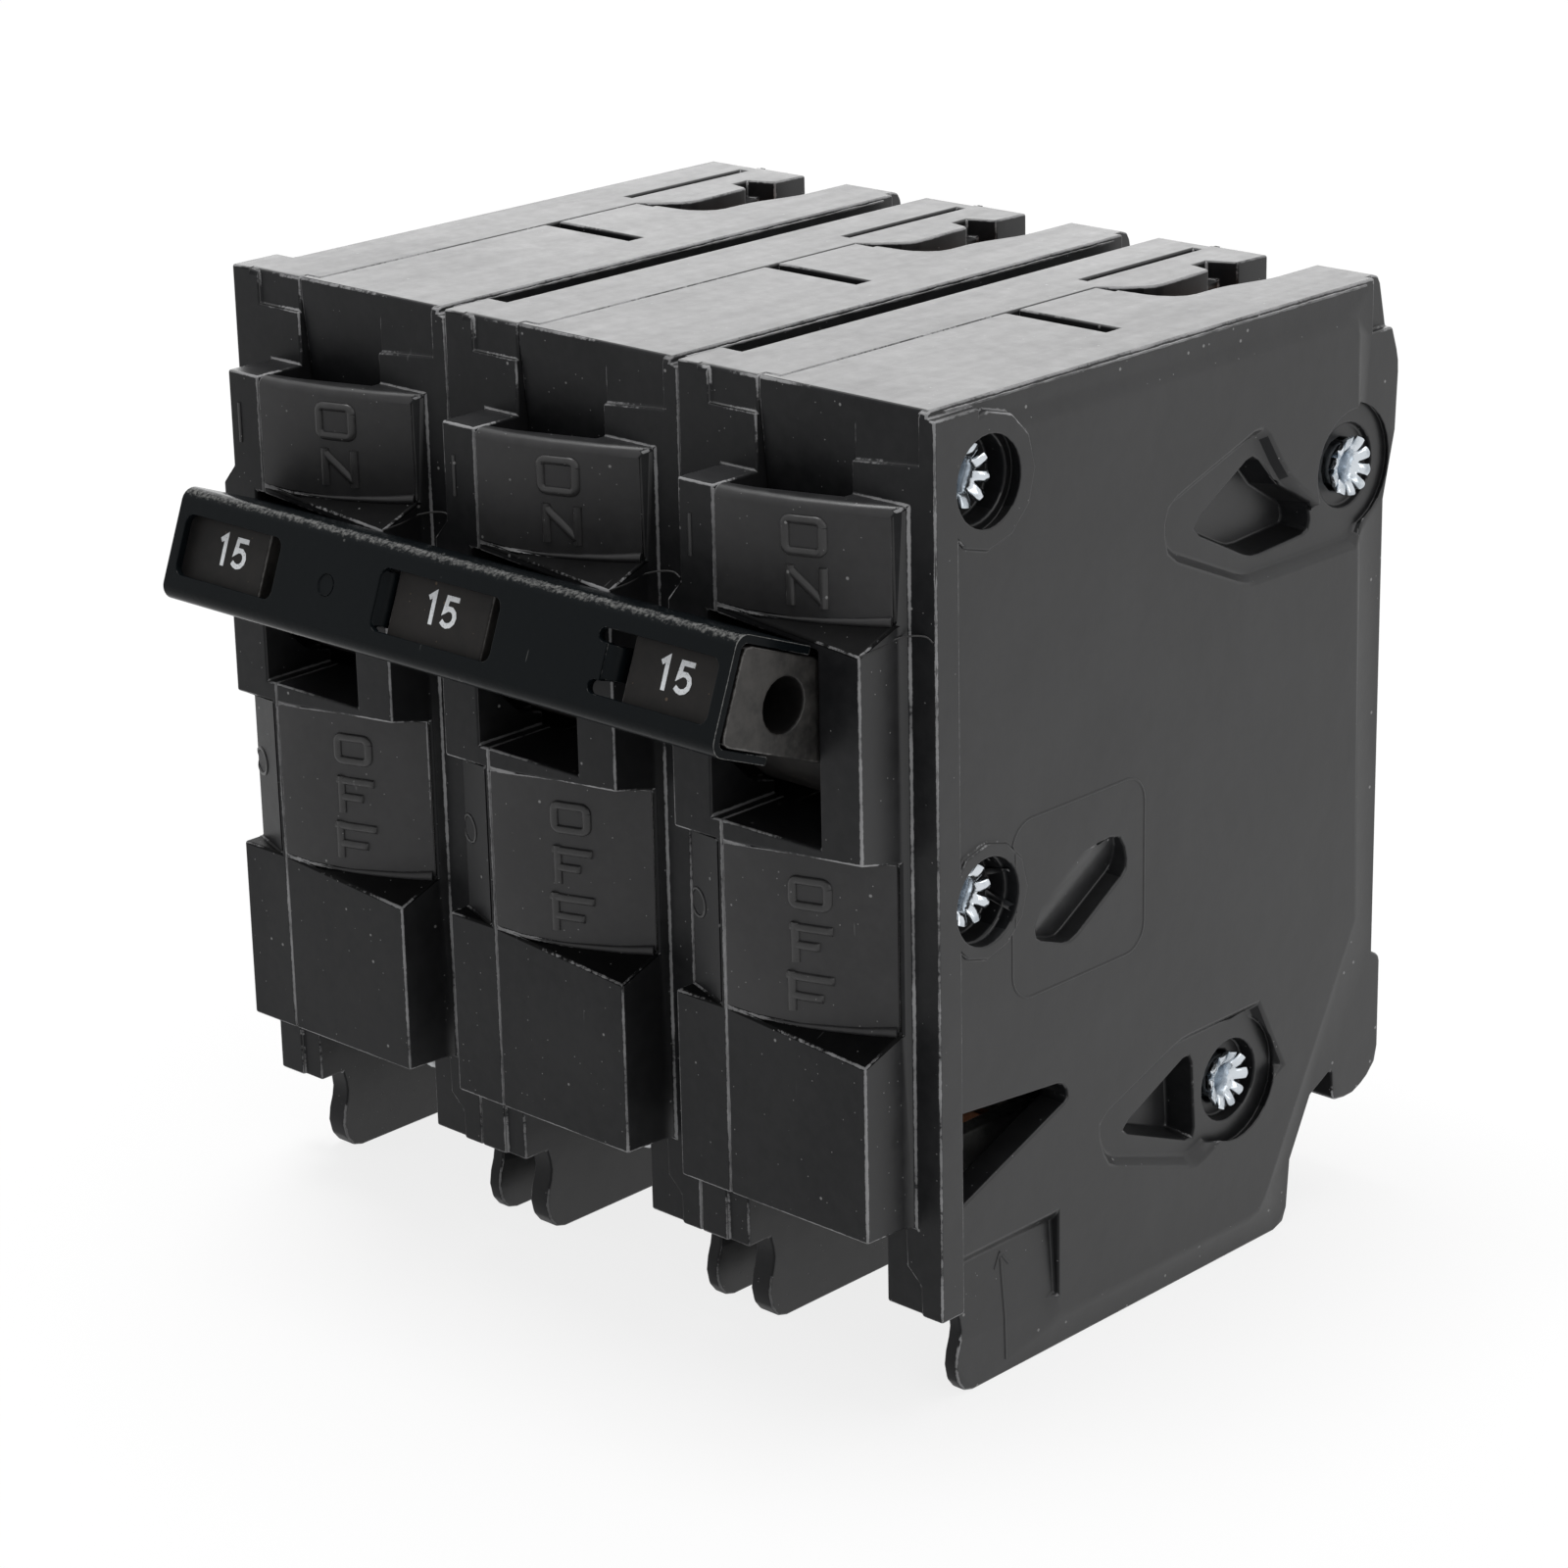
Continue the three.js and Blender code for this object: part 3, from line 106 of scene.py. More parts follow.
# ---------------------------------------------------------------- shader maths
class Signal:
    """One shader socket, on which Python's arithmetic adds Math nodes."""

    def __init__(self, graph: "Graph", socket: bpy.types.NodeSocket) -> None:
        """Wraps a socket of a graph."""
        self.graph = graph
        self.socket = socket

    def math(self, operation: str, *others: "Signal | float", clamp: bool = False) -> "Signal":
        """Adds one Math node.

        Args:
            operation: The node's operation.
            others: The values after this one.
            clamp: Whether the result stays from 0 to 1.

        Returns:
            The node's result.
        """
        settings = {"operation": operation, "use_clamp": clamp}
        inputs = {index: value for index, value in enumerate((self, *others))}
        return self.graph.out("ShaderNodeMath", settings, inputs)

    def __add__(self, other: "Signal | float") -> "Signal":
        """Sum."""
        return self.math("ADD", other)

    def __radd__(self, other: float) -> "Signal":
        """Sum, number first."""
        return self.math("ADD", other)

    def __sub__(self, other: "Signal | float") -> "Signal":
        """Difference."""
        return self.math("SUBTRACT", other)

    def __rsub__(self, other: float) -> "Signal":
        """Difference, number first."""
        return self.graph.number(other).math("SUBTRACT", self)

    def __mul__(self, other: "Signal | float") -> "Signal":
        """Product."""
        return self.math("MULTIPLY", other)

    def __rmul__(self, other: float) -> "Signal":
        """Product, number first."""
        return self.math("MULTIPLY", other)

    def __truediv__(self, other: "Signal | float") -> "Signal":
        """Quotient."""
        return self.math("DIVIDE", other)

    def __pow__(self, other: float) -> "Signal":
        """Power."""
        return self.math("POWER", other)

    def over(self, low: float, high: float) -> "Signal":
        """Rises smoothly from 0 at low to 1 at high."""
        inputs = {"Value": self, "From Min": low, "From Max": high}
        return self.graph.out("ShaderNodeMapRange", {"interpolation_type": "SMOOTHSTEP"}, inputs)

    def under(self, low: float, high: float) -> "Signal":
        """Falls smoothly from 1 at low to 0 at high."""
        return 1.0 - self.over(low, high)

    def least(self, other: "Signal | float") -> "Signal":
        """Smaller of two values."""
        return self.math("MINIMUM", other)

    def most(self, other: "Signal | float") -> "Signal":
        """Larger of two values."""
        return self.math("MAXIMUM", other)

    def clamped(self) -> "Signal":
        """The value kept from 0 to 1."""
        return self.math("ADD", 0.0, clamp=True)


class Graph:
    """The node tree of one material or of the world."""

    def __init__(self, tree: bpy.types.NodeTree) -> None:
        """Empties the tree and keeps it."""
        self.tree = tree
        tree.nodes.clear()

    def add(
        self,
        kind: str,
        settings: dict[str, Any] | None = None,
        inputs: dict[int | str, Any] | None = None,
    ) -> bpy.types.Node:
        """Adds any node.

        Args:
            kind: The node's type.
            settings: Its properties, or the stops of a colour ramp.
            inputs: A value or a link for each of its sockets.

        Returns:
            The node.
        """
        node = self.tree.nodes.new(kind)
        for name, value in (settings or {}).items():
            if name == "stops":
                self._set_stops(node.color_ramp, value)
            else:
                setattr(node, name, value)
        for name, value in (inputs or {}).items():
            self.feed(node.inputs[name], value)
        return node

    @staticmethod
    def _set_stops(ramp: bpy.types.ColorRamp, stops: Sequence[tuple[float, tuple]]) -> None:
        """Gives a ramp its stops.

        Args:
            ramp: The ramp.
            stops: The place and the colour of each stop.
        """
        while len(ramp.elements) < len(stops):
            ramp.elements.new(1.0)
        for element, (place, colour) in zip(ramp.elements, stops):
            element.position = place
            element.color = (*colour, 1.0)

    def feed(self, socket: bpy.types.NodeSocket, value: Any) -> None:
        """Links a signal to a socket, or writes a value in it.

        Args:
            socket: The input socket.
            value: A signal, an output socket, a colour or a number.
        """
        if isinstance(value, Signal):
            self.tree.links.new(value.socket, socket)
        elif isinstance(value, bpy.types.NodeSocket):
            self.tree.links.new(value, socket)
        elif isinstance(value, (tuple, list)) and len(value) == 3 and socket.type == "RGBA":
            socket.default_value = (*value, 1.0)
        else:
            socket.default_value = value

    def out(
        self,
        kind: str,
        settings: dict[str, Any] | None = None,
        inputs: dict[int | str, Any] | None = None,
        output: int | str = 0,
    ) -> Signal:
        """Adds a node and returns one of its outputs as a signal.

        Args:
            kind: The node's type.
            settings: Its properties.
            inputs: A value or a link for each of its sockets.
            output: The output that is wanted.

        Returns:
            The output.
        """
        return Signal(self, self.add(kind, settings, inputs).outputs[output])

    def number(self, value: float) -> Signal:
        """A plain number as a signal.

        Args:
            value: The number.

        Returns:
            The output of a Value node.
        """
        node = self.add("ShaderNodeValue")
        node.outputs[0].default_value = value
        return Signal(self, node.outputs[0])

    def mix(self, factor: Signal | float, first: Any, second: Any) -> Signal:
        """Mixes two colours.

        Args:
            factor: Share of the second.
            first: A colour or a signal.
            second: A colour or a signal.

        Returns:
            The mixed colour.
        """
        node = self.add("ShaderNodeMix", {"data_type": "RGBA"})
        self.feed(node.inputs[0], factor)
        self.feed(node.inputs[6], first)
        self.feed(node.inputs[7], second)
        return Signal(self, node.outputs[2])

    def millimetres(
        self, turn: Sequence[float] = (0, 0, 0), stretch: Sequence[float] = (1, 1, 1)
    ) -> Signal:
        """Object coordinates in millimetres, turned and stretched by a Mapping node.

        Args:
            turn: Angles in radians about X, Y and Z.
            stretch: What each axis is multiplied by.

        Returns:
            The coordinates.
        """
        coordinates = self.out("ShaderNodeTexCoord", output="Object")
        scale = tuple(value / MM for value in stretch)
        turned = {"Vector": coordinates, "Rotation": tuple(turn), "Scale": scale}
        return self.out("ShaderNodeMapping", None, turned)

    def noise(self, place: Signal, scale: float, detail: float = 2.0, roughness: float = 0.5) -> Signal:
        """Noise from 0 to 1 with so many waves per millimetre."""
        inputs = {"Vector": place, "Scale": scale, "Detail": detail, "Roughness": roughness}
        return self.out("ShaderNodeTexNoise", None, inputs, "Fac")

    def specks(self, place: Signal, scale: float, radius: float, share: float) -> Signal:
        """Round specks in some cells of a Voronoi pattern.

        Args:
            place: Where the pattern is read.
            scale: Cells per millimetre.
            radius: Radius of a speck as a share of a cell.
            share: Share of the cells that have one.

        Returns:
            1 on a speck and 0 off it.
        """
        inputs = {"Vector": place, "Scale": scale, "Randomness": 1.0}
        cells = self.add("ShaderNodeTexVoronoi", {"feature": "F1"}, inputs)
        chance = self.out("ShaderNodeSeparateColor", None, {"Color": cells.outputs["Color"]})
        chosen = chance.under(share - 0.001, share + 0.001)
        return Signal(self, cells.outputs["Distance"]).under(radius * 0.6, radius) * chosen

    def scratches(self, turn: float, density: float, length: float, share: float) -> Signal:
        """Straight hairlines in one direction on every face.

        Args:
            turn: Their angle in radians.
            density: Lines per millimetre across.
            length: Length of one line in millimetres.
            share: Share of the lines that are there.

        Returns:
            1 on a scratch and 0 off it.
        """
        place = self.millimetres((turn, turn * 0.7, turn * 1.3), (density, 1 / length, 1 / length))
        bend = self.noise(place, 0.35, 2.0)
        shifted = self.out(
            "ShaderNodeVectorMath",
            {"operation": "ADD"},
            {0: place, 1: self.out("ShaderNodeCombineXYZ", None, {0: bend * 2.4})},
        )
        return self.specks(shifted, 1.0, 0.09, share)

    def attribute(self, name: str) -> Signal:
        """A number stored on the mesh."""
        return self.out("ShaderNodeAttribute", {"attribute_name": name}, None, "Fac")

    def bump(self, height: Signal, distance: float, strength: float = 1.0) -> Signal:
        """Normal from a height that counts so many millimetres."""
        inputs = {"Height": height, "Distance": distance * MM, "Strength": strength}
        return self.out("ShaderNodeBump", None, inputs)


class Finish:
    """A procedural material. Each kind of finish fills in its own surface."""

    name: str
    slot: str

    def material(self) -> bpy.types.Material:
        """Makes the material, or finds the one made before.

        Returns:
            The material.
        """
        found = bpy.data.materials.get(self.name)
        if found is not None:
            return found
        made = bpy.data.materials.new(self.name)
        made.use_nodes = True
        graph = Graph(made.node_tree)
        output = graph.add("ShaderNodeOutputMaterial")
        shader = graph.add("ShaderNodeBsdfPrincipled")
        graph.tree.links.new(shader.outputs[0], output.inputs["Surface"])
        for socket, value in self.surface(graph).items():
            graph.feed(shader.inputs[socket], value)
        return made

    def surface(self, graph: Graph) -> dict[str, Any]:
        """What feeds each socket of the surface shader."""
        raise NotImplementedError


@dataclass(frozen=True)
class MouldedThermoset(Finish):
    """Black moulded plastic with pale worn edges, dust and hairlines."""

    name: str = "black_thermoset"
    slot: str = "case"
    dark: tuple[float, float, float] = (0.0095, 0.0096, 0.0103)
    light: tuple[float, float, float] = (0.0172, 0.0174, 0.0184)
    worn: tuple[float, float, float] = (0.27, 0.27, 0.275)
    dusty: tuple[float, float, float] = (0.22, 0.22, 0.22)
    roughness: float = 0.36
    shine: float = 0.5
    wear: float = 1.0
    dust: float = 1.0
    streaks: float = 0.0

    def surface(self, graph: Graph) -> dict[str, Any]:
        """Mottled black, edge wear from the mesh, specks, hairlines and a fine grain.

        Args:
            graph: The material's nodes.

        Returns:
            A value or a signal for each socket.
        """
        place = graph.millimetres()
        cloud = graph.noise(place, 0.07, 3.0)
        mottle = graph.noise(place, 0.9, 4.0, 0.6)
        grain = graph.noise(place, 5.5, 3.0, 0.6)
        base = graph.mix((cloud * 0.6 + mottle * 0.4).over(0.35, 0.68), self.dark, self.light)

        edge = graph.attribute("edge")
        chip = graph.noise(place, 2.2, 5.0, 0.7)
        along = graph.noise(place, 0.22, 3.0)
        ragged = edge + (chip - 0.5) * 2.0 + (along - 0.5) * 1.5
        rubbed = ragged.over(0.45, 0.85) * edge.over(0.05, 0.3)
        wear = rubbed * (along.over(0.3, 0.65) * 0.5 + 0.5) * self.wear

        specks = graph.specks(place, 1.6, 0.10, 0.3).most(graph.specks(place, 0.7, 0.11, 0.16))
        hair = graph.scratches(0.5, 1.1, 7.0, 0.10).most(graph.scratches(-0.9, 1.4, 9.0, 0.07))
        hair = hair.most(graph.scratches(2.1, 0.8, 5.0, 0.06)) * graph.noise(place, 0.2).over(0.42, 0.62)
        marks = specks.most(hair * 0.35) * self.dust
        scuffed = graph.mix(marks.clamped(), base, self.dusty)
        streak = graph.noise(graph.millimetres((0, 0, 0), (1.0, 0.05, 1.0)), 0.8, 3.0, 0.6) - 0.5

        roughness = (mottle - 0.5) * 0.14 + (cloud - 0.5) * 0.1 + streak * self.streaks + self.roughness
        height = grain * 0.05 + mottle * 0.16 + graph.noise(place, 0.14, 2.0) * 1.6 - marks * 0.2
        return {
            "Base Color": graph.mix(wear.clamped(), scuffed, self.worn),
            "Roughness": (roughness + wear * 0.3 + marks * 0.2).clamped(),
            "Specular IOR Level": self.shine,
            "Normal": graph.bump(height, 0.06),
        }


@dataclass(frozen=True)
class GlossPaint(Finish):
    """Glossy black paint over folded sheet steel."""

    name: str = "gloss_black_paint"
    slot: str = "tie_bar"
    paint: tuple[float, float, float] = (0.0036, 0.0050, 0.0060)
    bare: tuple[float, float, float] = (0.33, 0.33, 0.32)
    shine: float = 0.06

    def surface(self, graph: Graph) -> dict[str, Any]:
        """Paint with a slight orange peel, rubbed edges, scuffs and a painted highlight on the upper
        bend.

        Args:
            graph: The material's nodes.

        Returns:
            A value or a signal for each socket.
        """
        place = graph.millimetres()
        peel = graph.noise(place, 1.3, 2.0)
        fine = graph.noise(place, 6.0, 3.0, 0.6)
        edge = graph.attribute("edge")
        chip = graph.noise(place, 3.2, 4.0, 0.7)
        # The edge layer holds the rubbed edges and, on the upper bend, a painted highlight.
        rubbed = (edge * 0.9 + (chip - 0.5) * 1.1).over(0.45, 0.8) * edge.over(0.1, 0.5) * 0.45
        hair = graph.scratches(0.35, 1.6, 6.0, 0.10).most(graph.scratches(1.9, 1.2, 8.0, 0.06))
        specks = graph.specks(place, 0.8, 0.12, 0.1)
        pale = rubbed.most(hair * 0.14).most(specks * 0.2)
        return {
            "Base Color": graph.mix(pale.clamped(), self.paint, self.bare),
            "Roughness": ((fine - 0.5) * 0.12 + 0.22 + pale * 0.4).clamped(),
            "Specular IOR Level": self.shine,
            "Normal": graph.bump(peel * 0.8 + fine * 0.1 - pale * 0.2, 0.018),
        }


@dataclass(frozen=True)
class Plating(Finish):
    """Metal with a plated or rolled skin, in a colour and its tarnish."""

    name: str
    slot: str
    bright: tuple[float, float, float]
    dull: tuple[float, float, float]
    roughness: float = 0.3
    tarnish: float = 0.4
    grain: tuple[float, float, float] = (1.0, 1.0, 1.0)
    metallic: float = 1.0

    def surface(self, graph: Graph) -> dict[str, Any]:
        """Bright metal, patches of tarnish, fine lines along the grain.

        Args:
            graph: The material's nodes.

        Returns:
            A value or a signal for each socket.
        """
        place = graph.millimetres()
        patch = graph.noise(place, 0.5, 5.0, 0.62)
        fine = graph.noise(graph.millimetres((0, 0, 0), self.grain), 5.0, 3.0, 0.6)
        pits = graph.specks(place, 1.8, 0.2, 0.12)
        edge = graph.attribute("edge")
        stained = (patch.over(0.42, 0.68) * self.tarnish + pits * 0.25 - edge * 0.25).clamped()
        colour = graph.mix(stained, self.bright, self.dull)
        rough = (fine - 0.5) * 0.2 + stained * 0.25 + self.roughness
        return {
            "Base Color": colour,
            "Metallic": (self.metallic - stained * 0.3).clamped(),
            "Roughness": rough.clamped(),
            "Normal": graph.bump(fine * 0.4 + patch * 0.5 - pits * 0.6, 0.02),
        }


@dataclass(frozen=True)
class PlaitedCopper(Finish):
    """Strands of bare copper wire."""

    name: str = "plaited_copper"
    slot: str = "braid"
    bright: tuple[float, float, float] = (0.72, 0.33, 0.17)
    dull: tuple[float, float, float] = (0.24, 0.1, 0.05)

    def surface(self, graph: Graph) -> dict[str, Any]:
        """Copper with fine wires along each strand.

        Args:
            graph: The material's nodes.

        Returns:
            A value or a signal for each socket.
        """
        place = graph.millimetres()
        wires = graph.noise(graph.millimetres((0.4, 0.2, 0.1), (9, 1.2, 9)), 1.0, 2.0)
        patch = graph.noise(place, 0.6, 3.0)
        return {
            "Base Color": graph.mix((wires * 0.6 + patch * 0.5).over(0.3, 0.8), self.bright, self.dull),
            "Metallic": 1.0,
            "Roughness": (wires * 0.25 + 0.24).clamped(),
            "Normal": graph.bump(wires, 0.06),
        }


@dataclass(frozen=True)
class PrintedInk(Finish):
    """White pad-printed ink that has begun to rub off."""

    name: str = "white_print"
    slot: str = "handle"
    ink: tuple[float, float, float] = (0.72, 0.74, 0.76)
    under: tuple[float, float, float] = (0.03, 0.03, 0.03)

    def surface(self, graph: Graph) -> dict[str, Any]:
        """Ink with pinholes.

        Args:
            graph: The material's nodes.

        Returns:
            A value or a signal for each socket.
        """
        place = graph.millimetres()
        holes = graph.noise(place, 7.0, 4.0, 0.7).over(0.56, 0.7)
        return {
            "Base Color": graph.mix(holes * 0.75, self.ink, self.under),
            "Roughness": (holes * 0.2 + 0.5).clamped(),
            "Normal": graph.bump(1.0 - holes, 0.01),
        }


THERMOSET = MouldedThermoset()
# A darker, less shiny copy of the plastic for the faces that look to the front: painted shade.
FRONT_PAINTED_SHADE_THERMOSET = MouldedThermoset(
    name="black_thermoset_front_painted_shade", dark=(0.0085, 0.0088, 0.0098), shine=0.13, roughness=0.42
)
PAD_THERMOSET = MouldedThermoset(
    name="black_thermoset_pad",
    dark=(0.019, 0.0188, 0.0196),
    light=(0.030, 0.0295, 0.0305),
    roughness=0.45,
    shine=0.3,
    wear=0.8,
)
TOP_THERMOSET = MouldedThermoset(name="black_thermoset_top", streaks=0.1)
LETTER_THERMOSET = MouldedThermoset(
    name="black_thermoset_letters",
    dark=(0.024, 0.0235, 0.024),
    light=(0.042, 0.0415, 0.042),
    shine=0.35,
    wear=0.3,
)
# A near-black copy of the plastic for the up-facing ledges under the pads: painted shade where the pads
# shade them.
LEDGE_PAINTED_SHADE_THERMOSET = MouldedThermoset(
    name="black_thermoset_ledge_painted_shade",
    dark=(0.0022, 0.0022, 0.0024),
    light=(0.0048, 0.0048, 0.0050),
    shine=0.05,
    roughness=0.5,
)
FLASH_THERMOSET = MouldedThermoset(
    name="black_thermoset_flash",
    dark=(0.035, 0.035, 0.036),
    light=(0.26, 0.26, 0.265),
    roughness=0.55,
    shine=0.3,
)
SHELL_FINISHES = (THERMOSET, FRONT_PAINTED_SHADE_THERMOSET, PAD_THERMOSET, TOP_THERMOSET, LEDGE_PAINTED_SHADE_THERMOSET)
HANDLE_PLASTIC = MouldedThermoset(
    name="toggle_plastic",
    slot="handle",
    dark=(0.0045, 0.0043, 0.0043),
    light=(0.0145, 0.0130, 0.0122),
    worn=(0.2, 0.195, 0.19),
    dusty=(0.10, 0.075, 0.055),
    roughness=0.55,
    shine=0.16,
    wear=0.6,
    dust=1.3,
)
HANDLE_SIDE = MouldedThermoset(
    name="toggle_plastic_side",
    slot="handle",
    dark=(0.008, 0.0078, 0.0076),
    light=(0.050, 0.047, 0.044),
    worn=(0.2, 0.195, 0.19),
    roughness=0.5,
    shine=0.35,
    wear=0.6,
)
BAR_PAINT = GlossPaint()
ZINC = Plating("bright_zinc", "zinc", (0.62, 0.66, 0.70), (0.20, 0.24, 0.28), 0.14, 0.5)
SCREW_ZINC = Plating("dull_zinc", "zinc", (0.42, 0.43, 0.44), (0.15, 0.15, 0.15), 0.34, 0.7)
COPPER = Plating("tarnished_copper", "copper", (0.56, 0.27, 0.15), (0.13, 0.07, 0.045), 0.34, 0.8)
SILVER = Plating("contact_silver", "contact_silver", (0.80, 0.78, 0.74), (0.35, 0.33, 0.3), 0.3, 0.4)
STEEL = Plating("sheet_steel", "steel", (0.50, 0.50, 0.51), (0.2, 0.19, 0.18), 0.32, 0.45, (1, 8, 1))
BIMETAL = Plating("rolled_bimetal", "bimetal", (0.58, 0.54, 0.46), (0.3, 0.26, 0.2), 0.3, 0.4, (8, 1, 1))
TIN = Plating("tinned_lug", "lug", (0.44, 0.44, 0.43), (0.17, 0.165, 0.16), 0.4, 0.7)
BRAID = PlaitedCopper()
INK = PrintedInk()


# ---------------------------------------------------------------- mesh tools
def copy_of(node: str) -> bmesh.types.BMesh:
    """A merged copy of a frame node's mesh, with its flat faces made whole.

    Args:
        node: Name of the frame node.

    Returns:
        The copy.
    """
    work = bmesh.new()
    work.from_mesh(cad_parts[node].data)
    bmesh.ops.remove_doubles(work, verts=work.verts, dist=0.02 * MM)
    flat = math.radians(2)
    bmesh.ops.dissolve_limit(work, angle_limit=flat, verts=work.verts, edges=work.edges)
    bmesh.ops.dissolve_degenerate(work, dist=0.03 * MM, edges=work.edges)
    work.normal_update()
    return work


def round_off(
    work: bmesh.types.BMesh, edges: Sequence[bmesh.types.BMEdge], width: float, segments: int
) -> dict[str, Any]:
    """Bevels some edges of a mesh.

    Args:
        work: The mesh.
        edges: The edges.
        width: Width of the bevel in millimetres.
        segments: Faces across it.

    Returns:
        The faces, edges and corners that the bevel made.
    """
    return bmesh.ops.bevel(
        work,
        geom=list(edges),
        offset=width * MM,
        offset_type="OFFSET",
        segments=segments,
        profile=0.5,
        affect="EDGES",
        clamp_overlap=False,
        material=-1,
    )


def crowded(
    edges: Sequence[bmesh.types.BMEdge], smallest: float, longest: float = 0.7
) -> set[bmesh.types.BMEdge]:
    """Edges that meet another one at so sharp a corner that a rounding would run off the face.

    Args:
        edges: The edges to be rounded.
        smallest: The smallest corner in degrees that can be rounded.
        longest: Length in millimetres above which an edge is rounded in any case.

    Returns:
        The short edges of such corners.
    """
    found, chosen = set(), set(edges)
    for vert in {vert for edge in edges for vert in edge.verts}:
        near = [edge for edge in vert.link_edges if edge in chosen]
        for index, first in enumerate(near):
            for second in near[index + 1 :]:
                arms = [edge.other_vert(vert).co - vert.co for edge in (first, second)]
                if arms[0].angle(arms[1], math.pi) > math.radians(smallest):
                    continue
                found.update(edge for edge in (first, second) if edge.calc_length() < longest * MM)
    return found


def folded_faces(work: bmesh.types.BMesh, least: float = 0.002) -> list[bmesh.types.BMFace]:
    """Many-sided faces that overlap themselves.

    Args:
        work: The mesh.
        least: Overlaps below this, in square millimetres, are let be.

    Returns:
        The faces.
    """
    found = {}
    for corners in work.calc_loop_triangles():
        face = corners[0].face
        first, second, third = (loop.vert.co for loop in corners)
        turned = (second - first).cross(third - first).dot(face.normal)
        if len(face.verts) > 4 and turned < -least * MM * MM:
            found[face.index] = face
    return list(found.values())


def mend(work: bmesh.types.BMesh) -> None:
    """Cuts anew the faces whose outline crosses itself at a corner after a rounding.

    A corner of the cut that no face uses is taken away again.

    Args:
        work: The mesh.
    """
    work.normal_update()
    work.faces.index_update()
    for face in folded_faces(work):
        turn = face.normal.rotation_difference(Vector((0, 0, 1))).to_matrix()
        back = turn.inverted()
        verts = list(face.verts)
        flat = [turn @ vert.co / MM for vert in verts]
        height = sum(corner.z for corner in flat) / len(flat)
        cut = delaunay_2d_cdt([corner.xy for corner in flat], [], [list(range(len(flat)))], 1, 1e-4)
        corners = [
            verts[source[0]] if source else work.verts.new(back @ Vector((*point, height)) * MM)
            for point, source in zip(cut[0], cut[3])
        ]
        material = face.material_index
        bmesh.ops.delete(work, geom=[face], context="FACES_ONLY")
        for triangle in cut[2]:
            ends = [corners[index] for index in triangle]
            if len(set(ends)) == len(ends) and work.faces.get(ends) is None:
                work.faces.new(ends).material_index = material
    loose = [vert for vert in work.verts if not vert.link_faces]
    bmesh.ops.delete(work, geom=loose, context="VERTS")
    work.normal_update()


def soften(
    work: bmesh.types.BMesh,
    width: float,
    segments: int = 2,
    sharp: float = 25.0,
    share: Callable[[Vector], float] | None = None,
    corner: float = 0.0,
) -> None:
    """Rounds the sharp edges of a closed mesh and marks the outer ones as worn.

    Args:
        work: The mesh.
        width: Width of the rounding in millimetres.
        segments: Faces across it.
        sharp: Smallest angle in degrees that is rounded.
        share: How much the wear counts at a place, from 0 to 1.
        corner: Smallest corner in degrees between two edges that are both rounded.
    """
    layer = work.verts.layers.float.new("edge")
    edges = [
        edge
        for edge in work.edges
        if len(edge.link_faces) == 2 and edge.calc_face_angle() > math.radians(sharp)
    ]
    left_out = crowded(edges, corner) if corner else set()
    edges = [edge for edge in edges if edge not in left_out]
    fresh = set(round_off(work, edges, width, segments)["faces"])
    work.normal_update()
    for vert in work.verts:
        if any(face not in fresh for face in vert.link_faces):
            continue
        around = sum((edge.other_vert(vert).co for edge in vert.link_edges), Vector())
        rise = vert.normal.dot(vert.co - around / max(len(vert.link_edges), 1))
        if rise > 0:
            vert[layer] = share(vert.co) if share else 1.0
    mend(work)


def publish(
    name: str,
    work: bmesh.types.BMesh,
    finish: Finish | Sequence[Finish],
    body: str,
    stands_for: Sequence[str] = (),
    smooth: float = 50.0,
) -> bpy.types.Object:
    """Turns a finished mesh into a piece that rides on a body.

    Args:
        name: Name of the piece.
        work: Its mesh, in metres of the row frame.
        finish: Its finish, or one for each material index of its faces.
        body: The body that it rides on.
        stands_for: Frame nodes that it replaces.
        smooth: Edges below this angle in degrees are shaded smooth.

    Returns:
        The piece.
    """
    finishes = [finish] if isinstance(finish, Finish) else list(finish)
    mesh = bpy.data.meshes.new(name)
    work.normal_update()
    for face in work.faces:
        face.material_index = min(face.material_index, len(finishes) - 1)
    work.to_mesh(mesh)
    work.free()
    for one in finishes:
        mesh.materials.append(one.material())
    mesh.shade_smooth()
    mesh.set_sharp_from_angle(angle=math.radians(smooth))
    piece = bpy.data.objects.new(name, mesh)
    bpy.context.scene.collection.objects.link(piece)
    weighted = piece.modifiers.new("even_normals", "WEIGHTED_NORMAL")
    weighted.keep_sharp = True
    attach(piece, body)
    if stands_for:
        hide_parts(*stands_for)
    LOG.info("%s: %d faces on %s", name, len(mesh.polygons), body)
    return piece


